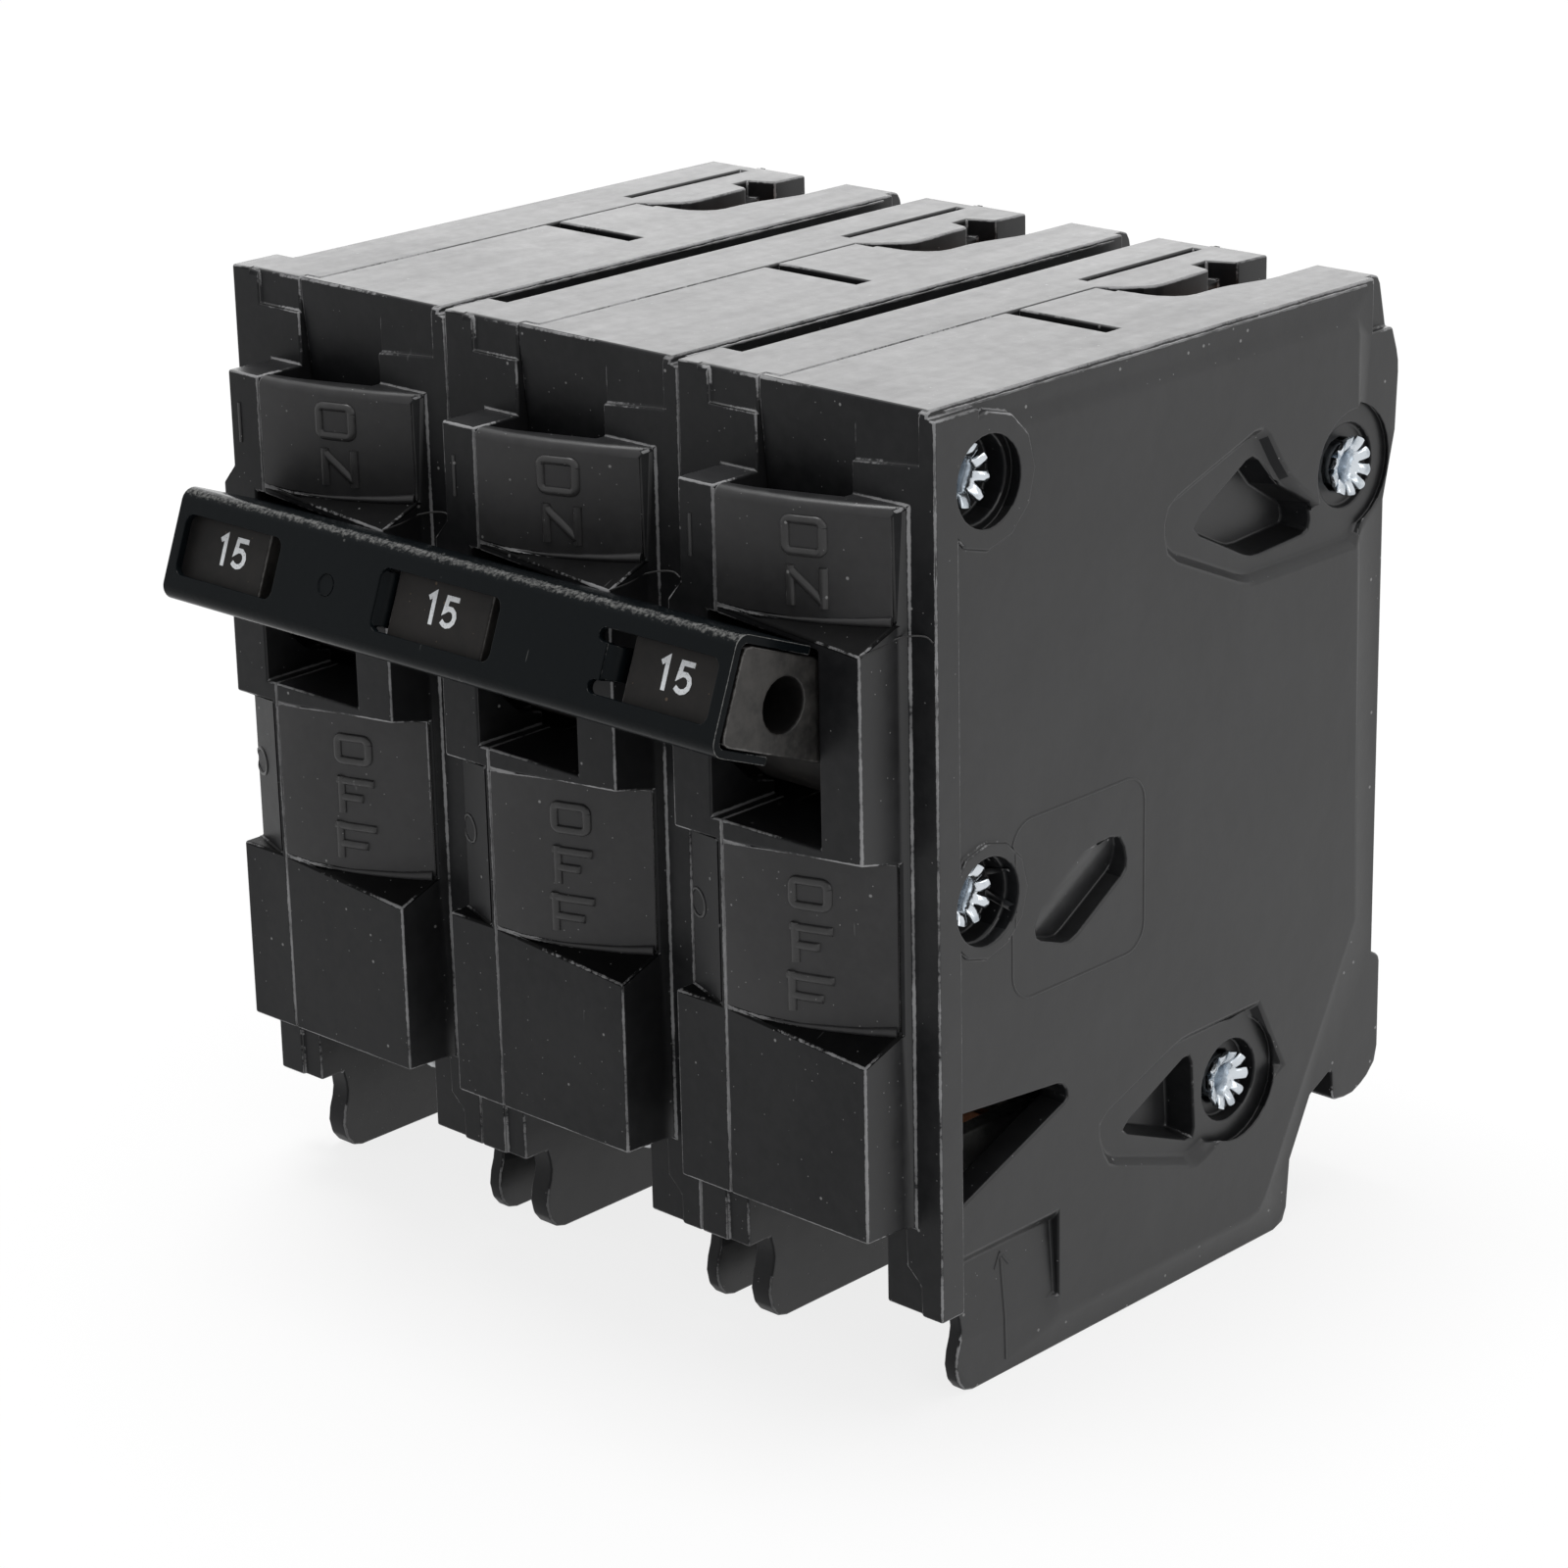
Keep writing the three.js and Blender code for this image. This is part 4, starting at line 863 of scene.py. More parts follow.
def tube(
    paths: Iterable[Sequence[Vector]],
    radius: float,
    closed: bool = False,
    sides: int = 3,
    taper: float = 1.0,
    thickness: Callable[[Vector], float] | None = None,
) -> bmesh.types.BMesh:
    """Round bars along lines of points.

    Args:
        paths: Lines of points in metres.
        radius: Radius of the bar in millimetres.
        closed: Whether each line returns to its start.
        sides: Resolution of the round.
        taper: Share of the radius that each line starts with.
        thickness: Share of the radius at a place.

    Returns:
        The mesh of all bars.
    """
    curve = bpy.data.curves.new("bar", "CURVE")
    curve.dimensions = "3D"
    curve.bevel_depth = radius * MM
    curve.bevel_resolution = sides
    curve.use_fill_caps = True
    for path in paths:
        spline = curve.splines.new("POLY")
        spline.points.add(len(path) - 1)
        for index, (point, place) in enumerate(zip(spline.points, path)):
            point.co = (*place, 1.0)
            point.radius = taper + (1 - taper) * index / (len(path) - 1)
            point.radius *= thickness(place) if thickness else 1.0
        spline.use_cyclic_u = closed
    carrier = bpy.data.objects.new("bar", curve)
    mesh = bpy.data.meshes.new_from_object(carrier)
    work = bmesh.new()
    work.from_mesh(mesh)
    bpy.data.objects.remove(carrier)
    bpy.data.curves.remove(curve)
    bpy.data.meshes.remove(mesh)
    bmesh.ops.remove_doubles(work, verts=work.verts, dist=0.001 * MM)
    bmesh.ops.recalc_face_normals(work, faces=work.faces)
    return work


def ribbon(line: Sequence[tuple[float, float]], width: float) -> list[Vector]:
    """Outline of a flat stroke with mitred corners.

    Args:
        line: Its centre line.
        width: Its width.

    Returns:
        The outline's points, counted round it.
    """
    points = [Vector((x, y, 0.0)) for x, y in line]
    sides: tuple[list[Vector], list[Vector]] = ([], [])
    for index, point in enumerate(points):
        into = (point - points[max(index - 1, 0)]).normalized()
        out = (points[min(index + 1, len(points) - 1)] - point).normalized()
        into, out = (into if index else out), (out if index < len(points) - 1 else into)
        middle = (into + out).normalized()
        reach = width / 2 / max(middle.dot(into), 0.4)
        across = Vector((-middle.y, middle.x, 0.0)) * reach
        sides[0].append(point + across)
        sides[1].append(point - across)
    return [*sides[0], *reversed(sides[1])]


def prism(outline: Sequence[Vector], depth: float, place: Matrix) -> bmesh.types.BMesh:
    """A flat outline made solid.

    Args:
        outline: Its corners on the plane of X and Y.
        depth: How far it is drawn out along Z.
        place: Where the solid goes.

    Returns:
        The solid, in the outline's units.
    """
    work = bmesh.new()
    work.faces.new([work.verts.new(corner) for corner in outline])
    work.normal_update()
    drawn = bmesh.ops.extrude_face_region(work, geom=work.faces[:])
    lifted = [item for item in drawn["geom"] if isinstance(item, bmesh.types.BMVert)]
    bmesh.ops.translate(work, verts=lifted, vec=(0, 0, depth))
    bmesh.ops.transform(work, verts=work.verts, matrix=place)
    bmesh.ops.recalc_face_normals(work, faces=work.faces)
    return work


def combine(work: bmesh.types.BMesh, tool: bmesh.types.BMesh, operation: str) -> bmesh.types.BMesh:
    """Cuts one solid with another, or joins them.

    Args:
        work: The solid that is kept.
        tool: The other one. Both are used up.
        operation: DIFFERENCE or UNION.

    Returns:
        The new solid.
    """
    carriers = []
    for part in (work, tool):
        mesh = bpy.data.meshes.new("blank")
        part.to_mesh(mesh)
        part.free()
        carriers.append(bpy.data.objects.new("blank", mesh))
        bpy.context.scene.collection.objects.link(carriers[-1])
    modifier = carriers[0].modifiers.new("cut", "BOOLEAN")
    modifier.solver = "EXACT"
    modifier.operation = operation
    modifier.object = carriers[1]
    evaluated = carriers[0].evaluated_get(bpy.context.evaluated_depsgraph_get())
    result = bmesh.new()
    result.from_mesh(evaluated.to_mesh())
    evaluated.to_mesh_clear()
    for carrier in carriers:
        mesh = carrier.data
        bpy.data.objects.remove(carrier)
        bpy.data.meshes.remove(mesh)
    return result


def fine(path: Sequence[Vector], step: float = 0.3) -> list[Vector]:
    """Adds points to a line, so that no two are further apart than a step.

    Args:
        path: The line's points in metres.
        step: The step in millimetres.

    Returns:
        The old points with the new ones between them.
    """
    points = [path[0]]
    for start, end in zip(path, path[1:]):
        count = max(1, math.ceil((end - start).length / (step * MM)))
        points += [start.lerp(end, index / count) for index in range(1, count + 1)]
    return points


def uneven(place: Vector) -> float:
    """How thick the flash of a mould seam is at a place: thin, with knots.

    Args:
        place: The place in metres.

    Returns:
        Share of the full thickness.
    """
    spot = place / MM
    swell = noise.noise(spot * 0.45) + 0.7 * noise.noise(spot * 1.9)
    return max(0.3, min(1.0, 0.7 + 0.55 * swell))


def settle(
    work: bmesh.types.BMesh, ground: BVHTree, toward: Vector, plane: float, flatten: float
) -> None:
    """Lays marks that were drawn on a flat plane on to the surface behind them.

    Args:
        work: The marks.
        ground: The surface.
        toward: Unit direction from the plane to the surface.
        plane: Place of the plane along that direction, in metres.
        flatten: Share of the marks' height that is kept.
    """
    start = plane - SETTLING_RUN * MM
    for vert in work.verts:
        height = vert.co.dot(toward) - plane
        foot = vert.co - toward * (vert.co.dot(toward) - start)
        hit, _, _, _ = ground.ray_cast(foot, toward)
        if hit is not None:
            vert.co = hit + toward * height * flatten


# ---------------------------------------------------------------- pieces
@dataclass(frozen=True)
class RaisedLetter:
    """One moulded letter: its outer sides, and the middle bar of an F."""

    shape: str
    left: float
    right: float
    top: float
    bottom: float
    middle: float = 0.0
    middle_end: float = 0.0
    ring_corner: float = 0.45

    def strokes(self, radius: float) -> list[list[tuple[float, float]]]:
        """Centre lines of its strokes.

        Args:
            radius: Half of a stroke's width.

        Returns:
            One line of points for each stroke.
        """
        left, right = self.left + radius, self.right - radius
        top, bottom = self.top - radius, self.bottom + radius
        if self.shape == "O":
            ring = rounded_rectangle(left, right, bottom, top, self.ring_corner)
            return [[*ring, ring[0]]]
        if self.shape == "N":
            return [
                [(left, self.bottom), (left, self.top)],
                [(left, top), (right, bottom)],
                [(right, self.bottom), (right, self.top)],
            ]
        return [
            [(left, self.bottom), (left, self.top)],
            [(self.left, top), (self.right, top)],
            [(left, self.middle), (self.middle_end, self.middle)],
        ]


ON_LETTERS = (
    RaisedLetter("O", -11.5, -7.9, -8.4, -11.5),
    RaisedLetter("N", -11.1, -7.85, -12.2, -15.2),
)
OFF_LETTERS = (
    RaisedLetter("O", -11.5, -8.0, -36.1, -38.8),
    RaisedLetter("F", -11.3, -8.0, -39.85, -43.0, -41.6, -9.03),
    RaisedLetter("F", -11.65, -7.95, -43.8, -46.95, -45.7, -8.8),
)


@dataclass(frozen=True)
class LetteredPad:
    """Part of the nose that carries a word: where its round edges and its face are."""

    top: float
    bottom: float
    right: float = -2.9
    front: float = -4.72
    back: float = -0.86
    shoulder: float = -0.88
    open_top: bool = False

    def holds(self, place: Vector) -> bool:
        """Whether a point of the drawing lies on the pad."""
        along = self.bottom - 1 < place.z < self.top + 0.1
        across = SEAM_X - 0.1 < place.x < self.right + 0.1
        return across and self.front < place.y < self.back and along

    def rounds(self, ends: Sequence[Vector]) -> bool:
        """Whether an edge belongs to the pad's round sides.

        Args:
            ends: Its two ends in the drawing.

        Returns:
            True for a part of the right edge, and for the top edge where that is open.
        """
        low, high, near = self.bottom - 0.3, self.top + 0.3, 0.04
        if all(abs(end.x - self.right) < near and low < end.z < high for end in ends):
            return all(abs(end.y - self.shoulder) < near for end in ends)
        flush = all(abs(end.z - self.top) < near for end in ends)
        before = all(self.holds(end) and end.y < face_line(end.x) for end in ends)
        return self.open_top and flush and before


def face_line(x: float) -> float:
    """A line just behind the pads' curved face, which parts their front edge from their back one."""
    return NOSE_FRONT + PAD_CURVE * (x - SEAM_X) ** 2 + 0.35


PADS = (LetteredPad(-7.2, -15.9, open_top=True), LetteredPad(-34.2, -47.7))
PARTING_LINE = (
    (-3.15, -4.6, -17.4),
    (-3.05, -2.8, -17.25),
    (-2.95, -1.0, -16.9),
    (-1.8, -0.37, -16.6),
    (-0.9, -0.02, -16.6),
    (-0.25, -0.02, -16.9),
)
FLASH_EDGES = (
    ((-0.13, 0.13, -70.4), (-0.13, 0.13, -0.8)),
    ((-0.13, 1.2, -0.13), (-0.13, 51.0, -0.13)),
)
FLASH_SEAMS = (
    ((SEAM_X, -4.59, -15.9), (SEAM_X, -4.59, -7.5)),
    ((SEAM_X, -4.59, -63.2), (SEAM_X, -4.59, -35.0)),
)
BAR_MARK = ((-19.8, -9.75), (-19.8, -13.0))
RING_MARK = (-21.4, -41.0)
INSERT_SIDES = (8.65, 24.2, -47.5, -33.2)
GAUGE_LINES = (
    ((8.0, -68.0), (8.2, -77.0)),
    ((7.3, -69.2), (8.0, -68.0), (8.9, -69.2)),
)
PAD_FEET = (
    ((-13.6, -4.26, -16.3), (-10.3, -3.53, -16.25), (-6.04, -2.1, -16.0), (-3.3, -0.95, -15.76)),
    ((-13.6, -4.26, -48.1), (-10.3, -3.53, -48.04), (-6.04, -2.1, -47.8), (-3.3, -0.95, -47.54)),
)


class ShellFace(Enum):
    """Kinds of face of a shell, each with the place of its finish among SHELL_FINISHES. The front faces
    and the ledges under the pads take darker copies of the plastic, as painted shade.
    """

    SIDE = 0
    FRONT = 1
    PAD = 2
    TOP = 3
    SHADED_LEDGE = 4


@dataclass
class MouldedCase:
    """The two moulded halves of one pole, with their raised marks.

    Front marks are drawn on a plane before the noses and side marks on one to the
    right of the case. Both are then laid on to the surface, a little flattened.
    """

    pole: Pole
    rounding: float = 0.22
    base_corner: float = 20.0
    pad_rounding: float = 0.8
    stroke: float = 0.36
    letter_inset: float = 0.35
    flatten: float = 0.78
    foot_radius: float = 0.45
    parting_radius: float = 0.075
    edge_flash: float = 0.13
    seam_flash: float = 0.16
    bar_stroke: float = 0.17
    ring_stroke: float = 0.15
    ring_radius: float = 1.1
    base_flatten: float = 0.8
    insert_corner: float = 2.2
    insert_stroke: float = 0.11
    insert_flatten: float = 0.45
    gauge_stroke: float = 0.12
    gauge_flatten: float = 0.7
    front_plane: float = -6.0
    side_plane: float = 3.0
    ground: BVHTree | None = field(default=None, init=False)

    def build(self) -> None:
        """Builds both halves, then the marks that stand on them."""
        surfaces = [self._half(kind) for kind in ("base", "cover")]
        self.ground = surfaces[1]
        self._letters("on_letters", ON_LETTERS)
        self._letters("off_letters", OFF_LETTERS)
        self._pad_feet()
        self._parting_line()
        self._flash()
        self._base_marks(surfaces[0])
        self._side_marks()

    def _drawn(self, place: Vector) -> Vector:
        """Turns a point in metres back into a point of the pole's drawing."""
        return place / MM - DRAWING_ORIGIN - Vector((self.pole.offset, 0, 0))

    def _half(self, kind: str) -> BVHTree:
        """Rounds one half and gives its faces their finishes.

        Args:
            kind: base for the left half, cover for the right one.

        Returns:
            Its surface, for the marks.
        """
        node = f"{self.pole.word}_{kind}_half"
        work = copy_of(node)
        if kind == "cover":
            self._round_pads(work)
        corner = self.base_corner if kind == "base" else 0.0
        soften(work, self.rounding, segments=3, share=self._wear_share, corner=corner)
        low, high = (Vector(corner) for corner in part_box(node))
        for vert in work.verts:
            vert.co = Vector(max(a, min(b, c)) for a, b, c in zip(low, high, vert.co))
        work.normal_update()
        for face in work.faces:
            face.material_index = self._kind_of(face).value
        surface = BVHTree.FromBMesh(work)
        publish(f"{self.pole.word}_{kind}_shell", work, SHELL_FINISHES, "case", [node])
        return surface

    def _wear_share(self, point: Vector) -> float:
        """How worn an edge is: the front and the top most, the recesses of the side least.

        Args:
            point: The place in metres.

        Returns:
            Share of the full wear.
        """
        place = self._drawn(point)
        front, top, right = place.y < 2.9, place.z > -1.2, place.x > -2.3
        beside_pad = any(pad.bottom < place.z < pad.top - 0.6 for pad in PADS)
        if -6.0 < place.x < -2.3 and front and beside_pad:
            return 0.25
        if right and front and place.z < -1.2:
            return 0.8
        if front or top:
            return 1.0
        if place.x > -4.5 and 3.2 < place.y < 52 and -66 < place.z < -2.5:
            return 0.35
        return 0.75

    def _round_pads(self, work: bmesh.types.BMesh) -> None:
        """Gives the lettered pads their wide round edges.

        Args:
            work: The mesh of the cover half.
        """
        chosen = []
        for edge in work.edges:
            ends = [self._drawn(vert.co) for vert in edge.verts]
            if edge.is_convex and any(pad.rounds(ends) for pad in PADS):
                chosen.append(edge)
        LOG.info("%s pad edges: %d", self.pole.word, len(chosen))
        round_off(work, chosen, self.pad_rounding, 4)

    def _kind_of(self, face: bmesh.types.BMFace) -> ShellFace:
        """Sorts a face by the way it faces and by its place. Faces that look to the front, and the ledges
        under the pads, get darker copies of the plastic as painted shade.

        Args:
            face: A face of the finished half.

        Returns:
            Its kind.
        """
        place = self._drawn(face.calc_center_median())
        if face.normal.z > 0.7 and place.z > -3:
            return ShellFace.TOP
        # Up-facing faces just under a pad get the near-black copy: painted shade under the pad.
        shaded_ledge = place.y < 0 and face.normal.z > 0.15
        if shaded_ledge and any(pad.bottom - 2 < place.z < pad.bottom + 0.6 for pad in PADS):
            return ShellFace.SHADED_LEDGE
        if face.normal.y > -0.6:
            return ShellFace.SIDE
        return ShellFace.PAD if any(pad.holds(place) for pad in PADS) else ShellFace.FRONT

    def _front_line(self, line: Iterable[tuple[float, float]]) -> list[Vector]:
        """Points of a line that is drawn on the plane before the noses."""
        return [at(x, self.front_plane, z, self.pole.offset) for x, z in line]

    def _lay_on_front(self, marks: bmesh.types.BMesh, ground: BVHTree, flatten: float) -> None:
        """Lays marks on to the front of a half."""
        settle(marks, ground, Vector((0, 1, 0)), at(0, self.front_plane, 0).y, flatten)

    def _lay_on_side(self, marks: bmesh.types.BMesh, flatten: float) -> None:
        """Lays marks on to the right side of the case."""
        plane = -at(self.side_plane, 0, 0, self.pole.offset).x
        settle(marks, self.ground, Vector((-1, 0, 0)), plane, flatten)

    def _letters(self, name: str, letters: Sequence[RaisedLetter]) -> None:
        """Raised letters, one below the other.

        Args:
            name: Last part of the piece's name.
            letters: The letters.
        """
        paths = []
        for letter in letters:
            for line in letter.strokes(self.letter_inset):
                paths.append(fine(self._front_line(line)))
        work = tube(paths, self.stroke)
        self._lay_on_front(work, self.ground, self.flatten)
        publish(f"{self.pole.word}_{name}", work, LETTER_THERMOSET, "case", smooth=ROUND_SHADING)

    def _pad_feet(self) -> None:
        """The swelling along the foot of each pad, which widens to the right."""
        feet = [[at(*corner, self.pole.offset) for corner in foot] for foot in PAD_FEET]
        routes = [smooth_route(corners, 10) for corners in feet]
        work = tube(routes, self.foot_radius, sides=4, taper=0.1)
        publish(f"{self.pole.word}_pad_feet", work, PAD_THERMOSET, "case", smooth=ROUND_SHADING)

    def _parting_line(self) -> None:
        """The fine ridge that a mould insert left from the slot's corner to the right edge."""
        corners = [at(*corner, self.pole.offset) for corner in PARTING_LINE]
        work = tube([smooth_route(corners, 8)], self.parting_radius, sides=2)
        publish(f"{self.pole.word}_parting_line", work, LETTER_THERMOSET, "case", smooth=ROUND_SHADING)

    def _flash(self) -> None:
        """Ragged flash along the front and top edges and on the seam between the halves."""
        for name, lines, radius in (
            ("edge_flash", FLASH_EDGES, self.edge_flash),
            ("seam_flash", FLASH_SEAMS, self.seam_flash),
        ):
            paths = [fine([at(*end, self.pole.offset) for end in line]) for line in lines]
            work = tube(paths, radius, sides=1, thickness=uneven)
            publish(f"{self.pole.word}_{name}", work, FLASH_THERMOSET, "case", smooth=ROUND_SHADING)

    def _base_marks(self, ground: BVHTree) -> None:
        """The bar and ring marks beside the two lettered pads.

        Args:
            ground: Surface of the base half.
        """
        bar = tube([fine(self._front_line(BAR_MARK))], self.bar_stroke)
        self._lay_on_front(bar, ground, self.base_flatten)
        publish(f"{self.pole.word}_bar_mark", bar, THERMOSET, "case", smooth=ROUND_SHADING)
        turns = [2 * math.pi * step / 32 for step in range(32)]
        x, z, radius = *RING_MARK, self.ring_radius
        ring = self._front_line((x + radius * math.cos(t), z + radius * math.sin(t)) for t in turns)
        work = tube([ring], self.ring_stroke, closed=True)
        self._lay_on_front(work, ground, self.base_flatten)
        publish(f"{self.pole.word}_ring_mark", work, THERMOSET, "case", smooth=ROUND_SHADING)

    def _side_marks(self) -> None:
        """Outline of the mould insert and the bare gauge line on the right side."""
        plane, offset = self.side_plane, self.pole.offset
        outline = rounded_rectangle(*INSERT_SIDES, self.insert_corner)
        path = fine([at(plane, y, z, offset) for y, z in [*outline, outline[0]]], 0.6)
        work = tube([path[:-1]], self.insert_stroke, closed=True)
        self._lay_on_side(work, self.insert_flatten)
        publish(f"{self.pole.word}_insert_outline", work, THERMOSET, "case", smooth=ROUND_SHADING)
        lines = [[at(plane, y, z, offset) for y, z in line] for line in GAUGE_LINES]
        gauge = tube([fine(line) for line in lines], self.gauge_stroke)
        self._lay_on_side(gauge, self.gauge_flatten)
        publish(f"{self.pole.word}_gauge_line", gauge, THERMOSET, "case", smooth=ROUND_SHADING)


def rounded_rectangle(
    x0: float, x1: float, y0: float, y1: float, radius: float
) -> list[tuple[float, float]]:
    """Corner points of a rounded rectangle.

    Args:
        x0: Left side.
        x1: Right side.
        y0: Lower side.
        y1: Upper side.
        radius: Radius of the corners.

    Returns:
        Points around it.
    """
    points = []
    left, right, low, high = x0 + radius, x1 - radius, y0 + radius, y1 - radius
    for quarter, (x, y) in enumerate(((right, high), (left, high), (left, low), (right, low))):
        for step in range(7):
            turn = math.pi / 2 * (quarter + step / 6)
            points.append((x + radius * math.cos(turn), y + radius * math.sin(turn)))
    return points


NUMERALS = (
    ((-1.62, 1.02), (-1.05, 1.42), (-1.02, -0.95)),
    (
        (1.62, 1.37),
        (0.42, 1.37),
        (0.28, 0.34),
        (0.62, 0.56),
        (1.02, 0.55),
        (1.32, 0.34),
        (1.44, 0.0),
        (1.36, -0.36),
        (1.1, -0.63),
        (0.72, -0.74),
        (0.4, -0.66),
        (0.1, -0.46),
    ),
)


@dataclass
class Toggle:
    """One toggle lever with its printed number."""

    pole: Pole
    reach: float = 17.4
    number_x: float = -13.2
    stroke: float = 0.4
    ink_depth: float = 0.02
    rounding: float = 0.22

    def build(self) -> None:
        """Rounds the lever and prints its number."""
        node = f"{self.pole.word}_handle"
        work = copy_of(node)
        soften(work, self.rounding)
        work.normal_update()
        for face in work.faces:
            face.material_index = 1 if abs(face.normal.x) > 0.7 else 0
        finishes = (HANDLE_PLASTIC, HANDLE_SIDE)
        publish(f"{self.pole.word}_toggle_lever", work, finishes, "handle_set", [node])
        self._number()

    def _number(self) -> None:
        """The number 15 as a thin layer of ink on the lever's face."""
        work = bmesh.new()
        for line in NUMERALS:
            corners = [work.verts.new(point * MM) for point in ribbon(line, self.stroke)]
            work.faces.new(corners)
        work.normal_update()
        raised = bmesh.ops.extrude_face_region(work, geom=work.faces[:])
        lifted = [item for item in raised["geom"] if isinstance(item, bmesh.types.BMVert)]
        bmesh.ops.translate(work, verts=lifted, vec=(0, 0, self.ink_depth * MM))
        bmesh.ops.recalc_face_normals(work, faces=work.faces)
        facing = Matrix.Rotation(math.pi / 2 - HANDLE_TILT, 4, "X")
        centre = at(self.number_x, PIVOT.y, PIVOT.z, self.pole.offset)
        outward = Vector((0, -math.cos(HANDLE_TILT), math.sin(HANDLE_TILT)))
        place = Matrix.Translation(centre + outward * self.reach * MM)
        bmesh.ops.transform(work, verts=work.verts, matrix=place @ facing)
        publish(f"{self.pole.word}_rating_number", work, INK, "handle_set")


@dataclass(frozen=True)
class BarWindow:
    """One window of the tie bar, with a tab bent in at one or both of its ends.

    A relieved window has a round relief hole on each side of its tab.
    """

    left: float
    right: float
    tab_left: bool
    tab_right: bool
    relieved: bool = False

    def tab_ends(self) -> list[tuple[float, int]]:
        """Finds the ends that have a tab.

        Returns:
            Place of each such end, and the side to which its tab reaches.
        """
        ends = [(self.left, 1)] if self.tab_left else []
        return [*ends, (self.right, -1)] if self.tab_right else ends


@dataclass
class TieBar:
    """The folded sheet-steel bar over the three toggles, drawn with its face along X and Z."""

    sheet: float = 0.7
    reach: float = 18.35
    half: float = 4.55
    top_flange: float = 7.9
    bottom_flange: float = 6.0
    bend: float = 1.2
    left: float = -68.7
    right: float = -7.6
    window_low: float = -2.5
    window_high: float = 2.4
    window_corner: float = 0.8
    window_depth: float = 3.0
    tab_half: float = 1.3
    tab_length: float = 3.2
    tab_bend: float = 1.5
    tab_root: float = 0.5
    tab_inset: float = 0.75
    tab_gap: float = 0.25
    relieved_inset: float = 1.0
    relief: float = 0.52
    relief_length: float = 1.2
    dimple: tuple[float, float, float] = (-50.2, -0.15, 0.85)
    dimple_depth: float = 0.1
    rounding: float = 0.12
    # Strength of the painted highlight on the upper bend.
    bend_highlight: float = 0.68
    windows: tuple[BarWindow, ...] = (
        BarWindow(-67.6, -56.1, False, True),
        BarWindow(-44.5, -31.3, True, True),
        BarWindow(-19.8, -8.8, True, False, relieved=True),
    )

    def build(self) -> None:
        """Folds the sheet, cuts its windows, bends in the tabs and rounds the cut edges."""
        work = self._folded()
        for cutter in self._cutters():
            work = combine(work, cutter, "DIFFERENCE")
        for window in self.windows:
            for end, side in window.tab_ends():
                work = combine(work, self._tab(end, side, window.relieved), "UNION")
        bmesh.ops.remove_doubles(work, verts=work.verts, dist=0.004)
        flat = math.radians(1)
        bmesh.ops.dissolve_limit(work, angle_limit=flat, verts=work.verts, edges=work.edges)
        place = Matrix.Translation(at(*PIVOT)) @ Matrix.Rotation(-HANDLE_TILT, 4, "X")
        bmesh.ops.transform(work, verts=work.verts, matrix=place @ Matrix.Scale(MM, 4))
        soften(work, self.rounding, sharp=40.0, share=self._wear_share)
        self._paint_bend_highlight(work, place)
        publish("tie_bar_channel", work, BAR_PAINT, "handle_set", ["handle_tie_bar"], smooth=35)

    def _wear_share(self, point: Vector) -> float:
        """The cut ends are the most rubbed."""
        across = (point - at(0, 0, 0)).x / MM
        return 1.0 if across > self.right - 0.9 or across < self.left + 0.9 else 0.6

    def _paint_bend_highlight(self, work: bmesh.types.BMesh, place: Matrix) -> None:
        """Paints a highlight along the upper bend: pale marks in the edge layer, strongest halfway round
        the bend, in the colour of rubbed paint.

        Args:
            work: The finished bar.
            place: Turn and place of the bar.
        """
        layer = work.verts.layers.float["edge"]
        back = place.inverted()
        for vert in work.verts:
            spot = back @ vert.co / MM
            out, rise = self.bend - self.reach - spot.y, spot.z - self.half + self.bend
            if out > 0 and rise > 0 and math.hypot(out, rise) > self.bend - 0.1:
                vert[layer] = max(vert[layer], self.bend_highlight * math.sin(2 * math.atan2(rise, out)))

    def _folded(self) -> bmesh.types.BMesh:
        """Draws the channel without its windows.

        Returns:
            The channel in millimetres, with its face along X and Z.
        """
        front, thin = -self.reach + self.sheet / 2, self.sheet / 2
        centre, arm = front - thin + self.bend, self.bend - thin
        line = [(self.top_flange - self.reach, self.half - thin)]
        for rise, start in ((self.half - self.bend, 90), (self.bend - self.half, 180)):
            for step in range(9):
                turn = math.radians(start + step * 90 / 8)
                line.append((centre + arm * math.cos(turn), rise + arm * math.sin(turn)))
        line.append((self.bottom_flange - self.reach, thin - self.half))
        turned = Matrix(((0, 0, 1, self.left), (1, 0, 0, 0), (0, 1, 0, 0), (0, 0, 0, 1)))
        return prism(ribbon(line, self.sheet), self.right - self.left, turned)

    def _cutters(self) -> list[bmesh.types.BMesh]:
        """Draws what is cut from the channel.

        Returns:
            Solids for the windows, the reliefs beside the tabs, and the dimple.
        """
        through = Matrix(((1, 0, 0, 0), (0, 0, -1, 1.0 - self.reach), (0, 1, 0, 0), (0, 0, 0, 1)))
        low, high, width, outlines = self.window_low, self.window_high, 2 * self.relief, []
        for window in self.windows:
            outlines.append(rounded_rectangle(window.left, window.right, low, high, self.window_corner))
            for end, side in window.tab_ends() if window.relieved else []:
                x0, x1 = sorted((end - side * width, end + side * self.relief_length))
                for foot in (low, high - width):
                    outlines.append(rounded_rectangle(x0, x1, foot, foot + width, self.relief * 0.98))
        made = [self._cutter(corners, self.window_depth, through) for corners in outlines]
        x, z, radius = self.dimple
        ring = rounded_rectangle(x - radius, x + radius, z - radius, z + radius, radius * 0.99)
        shallow = Matrix.Translation((0, self.dimple_depth - 1, 0)) @ through
        return [*made, self._cutter(ring, 1, shallow)]

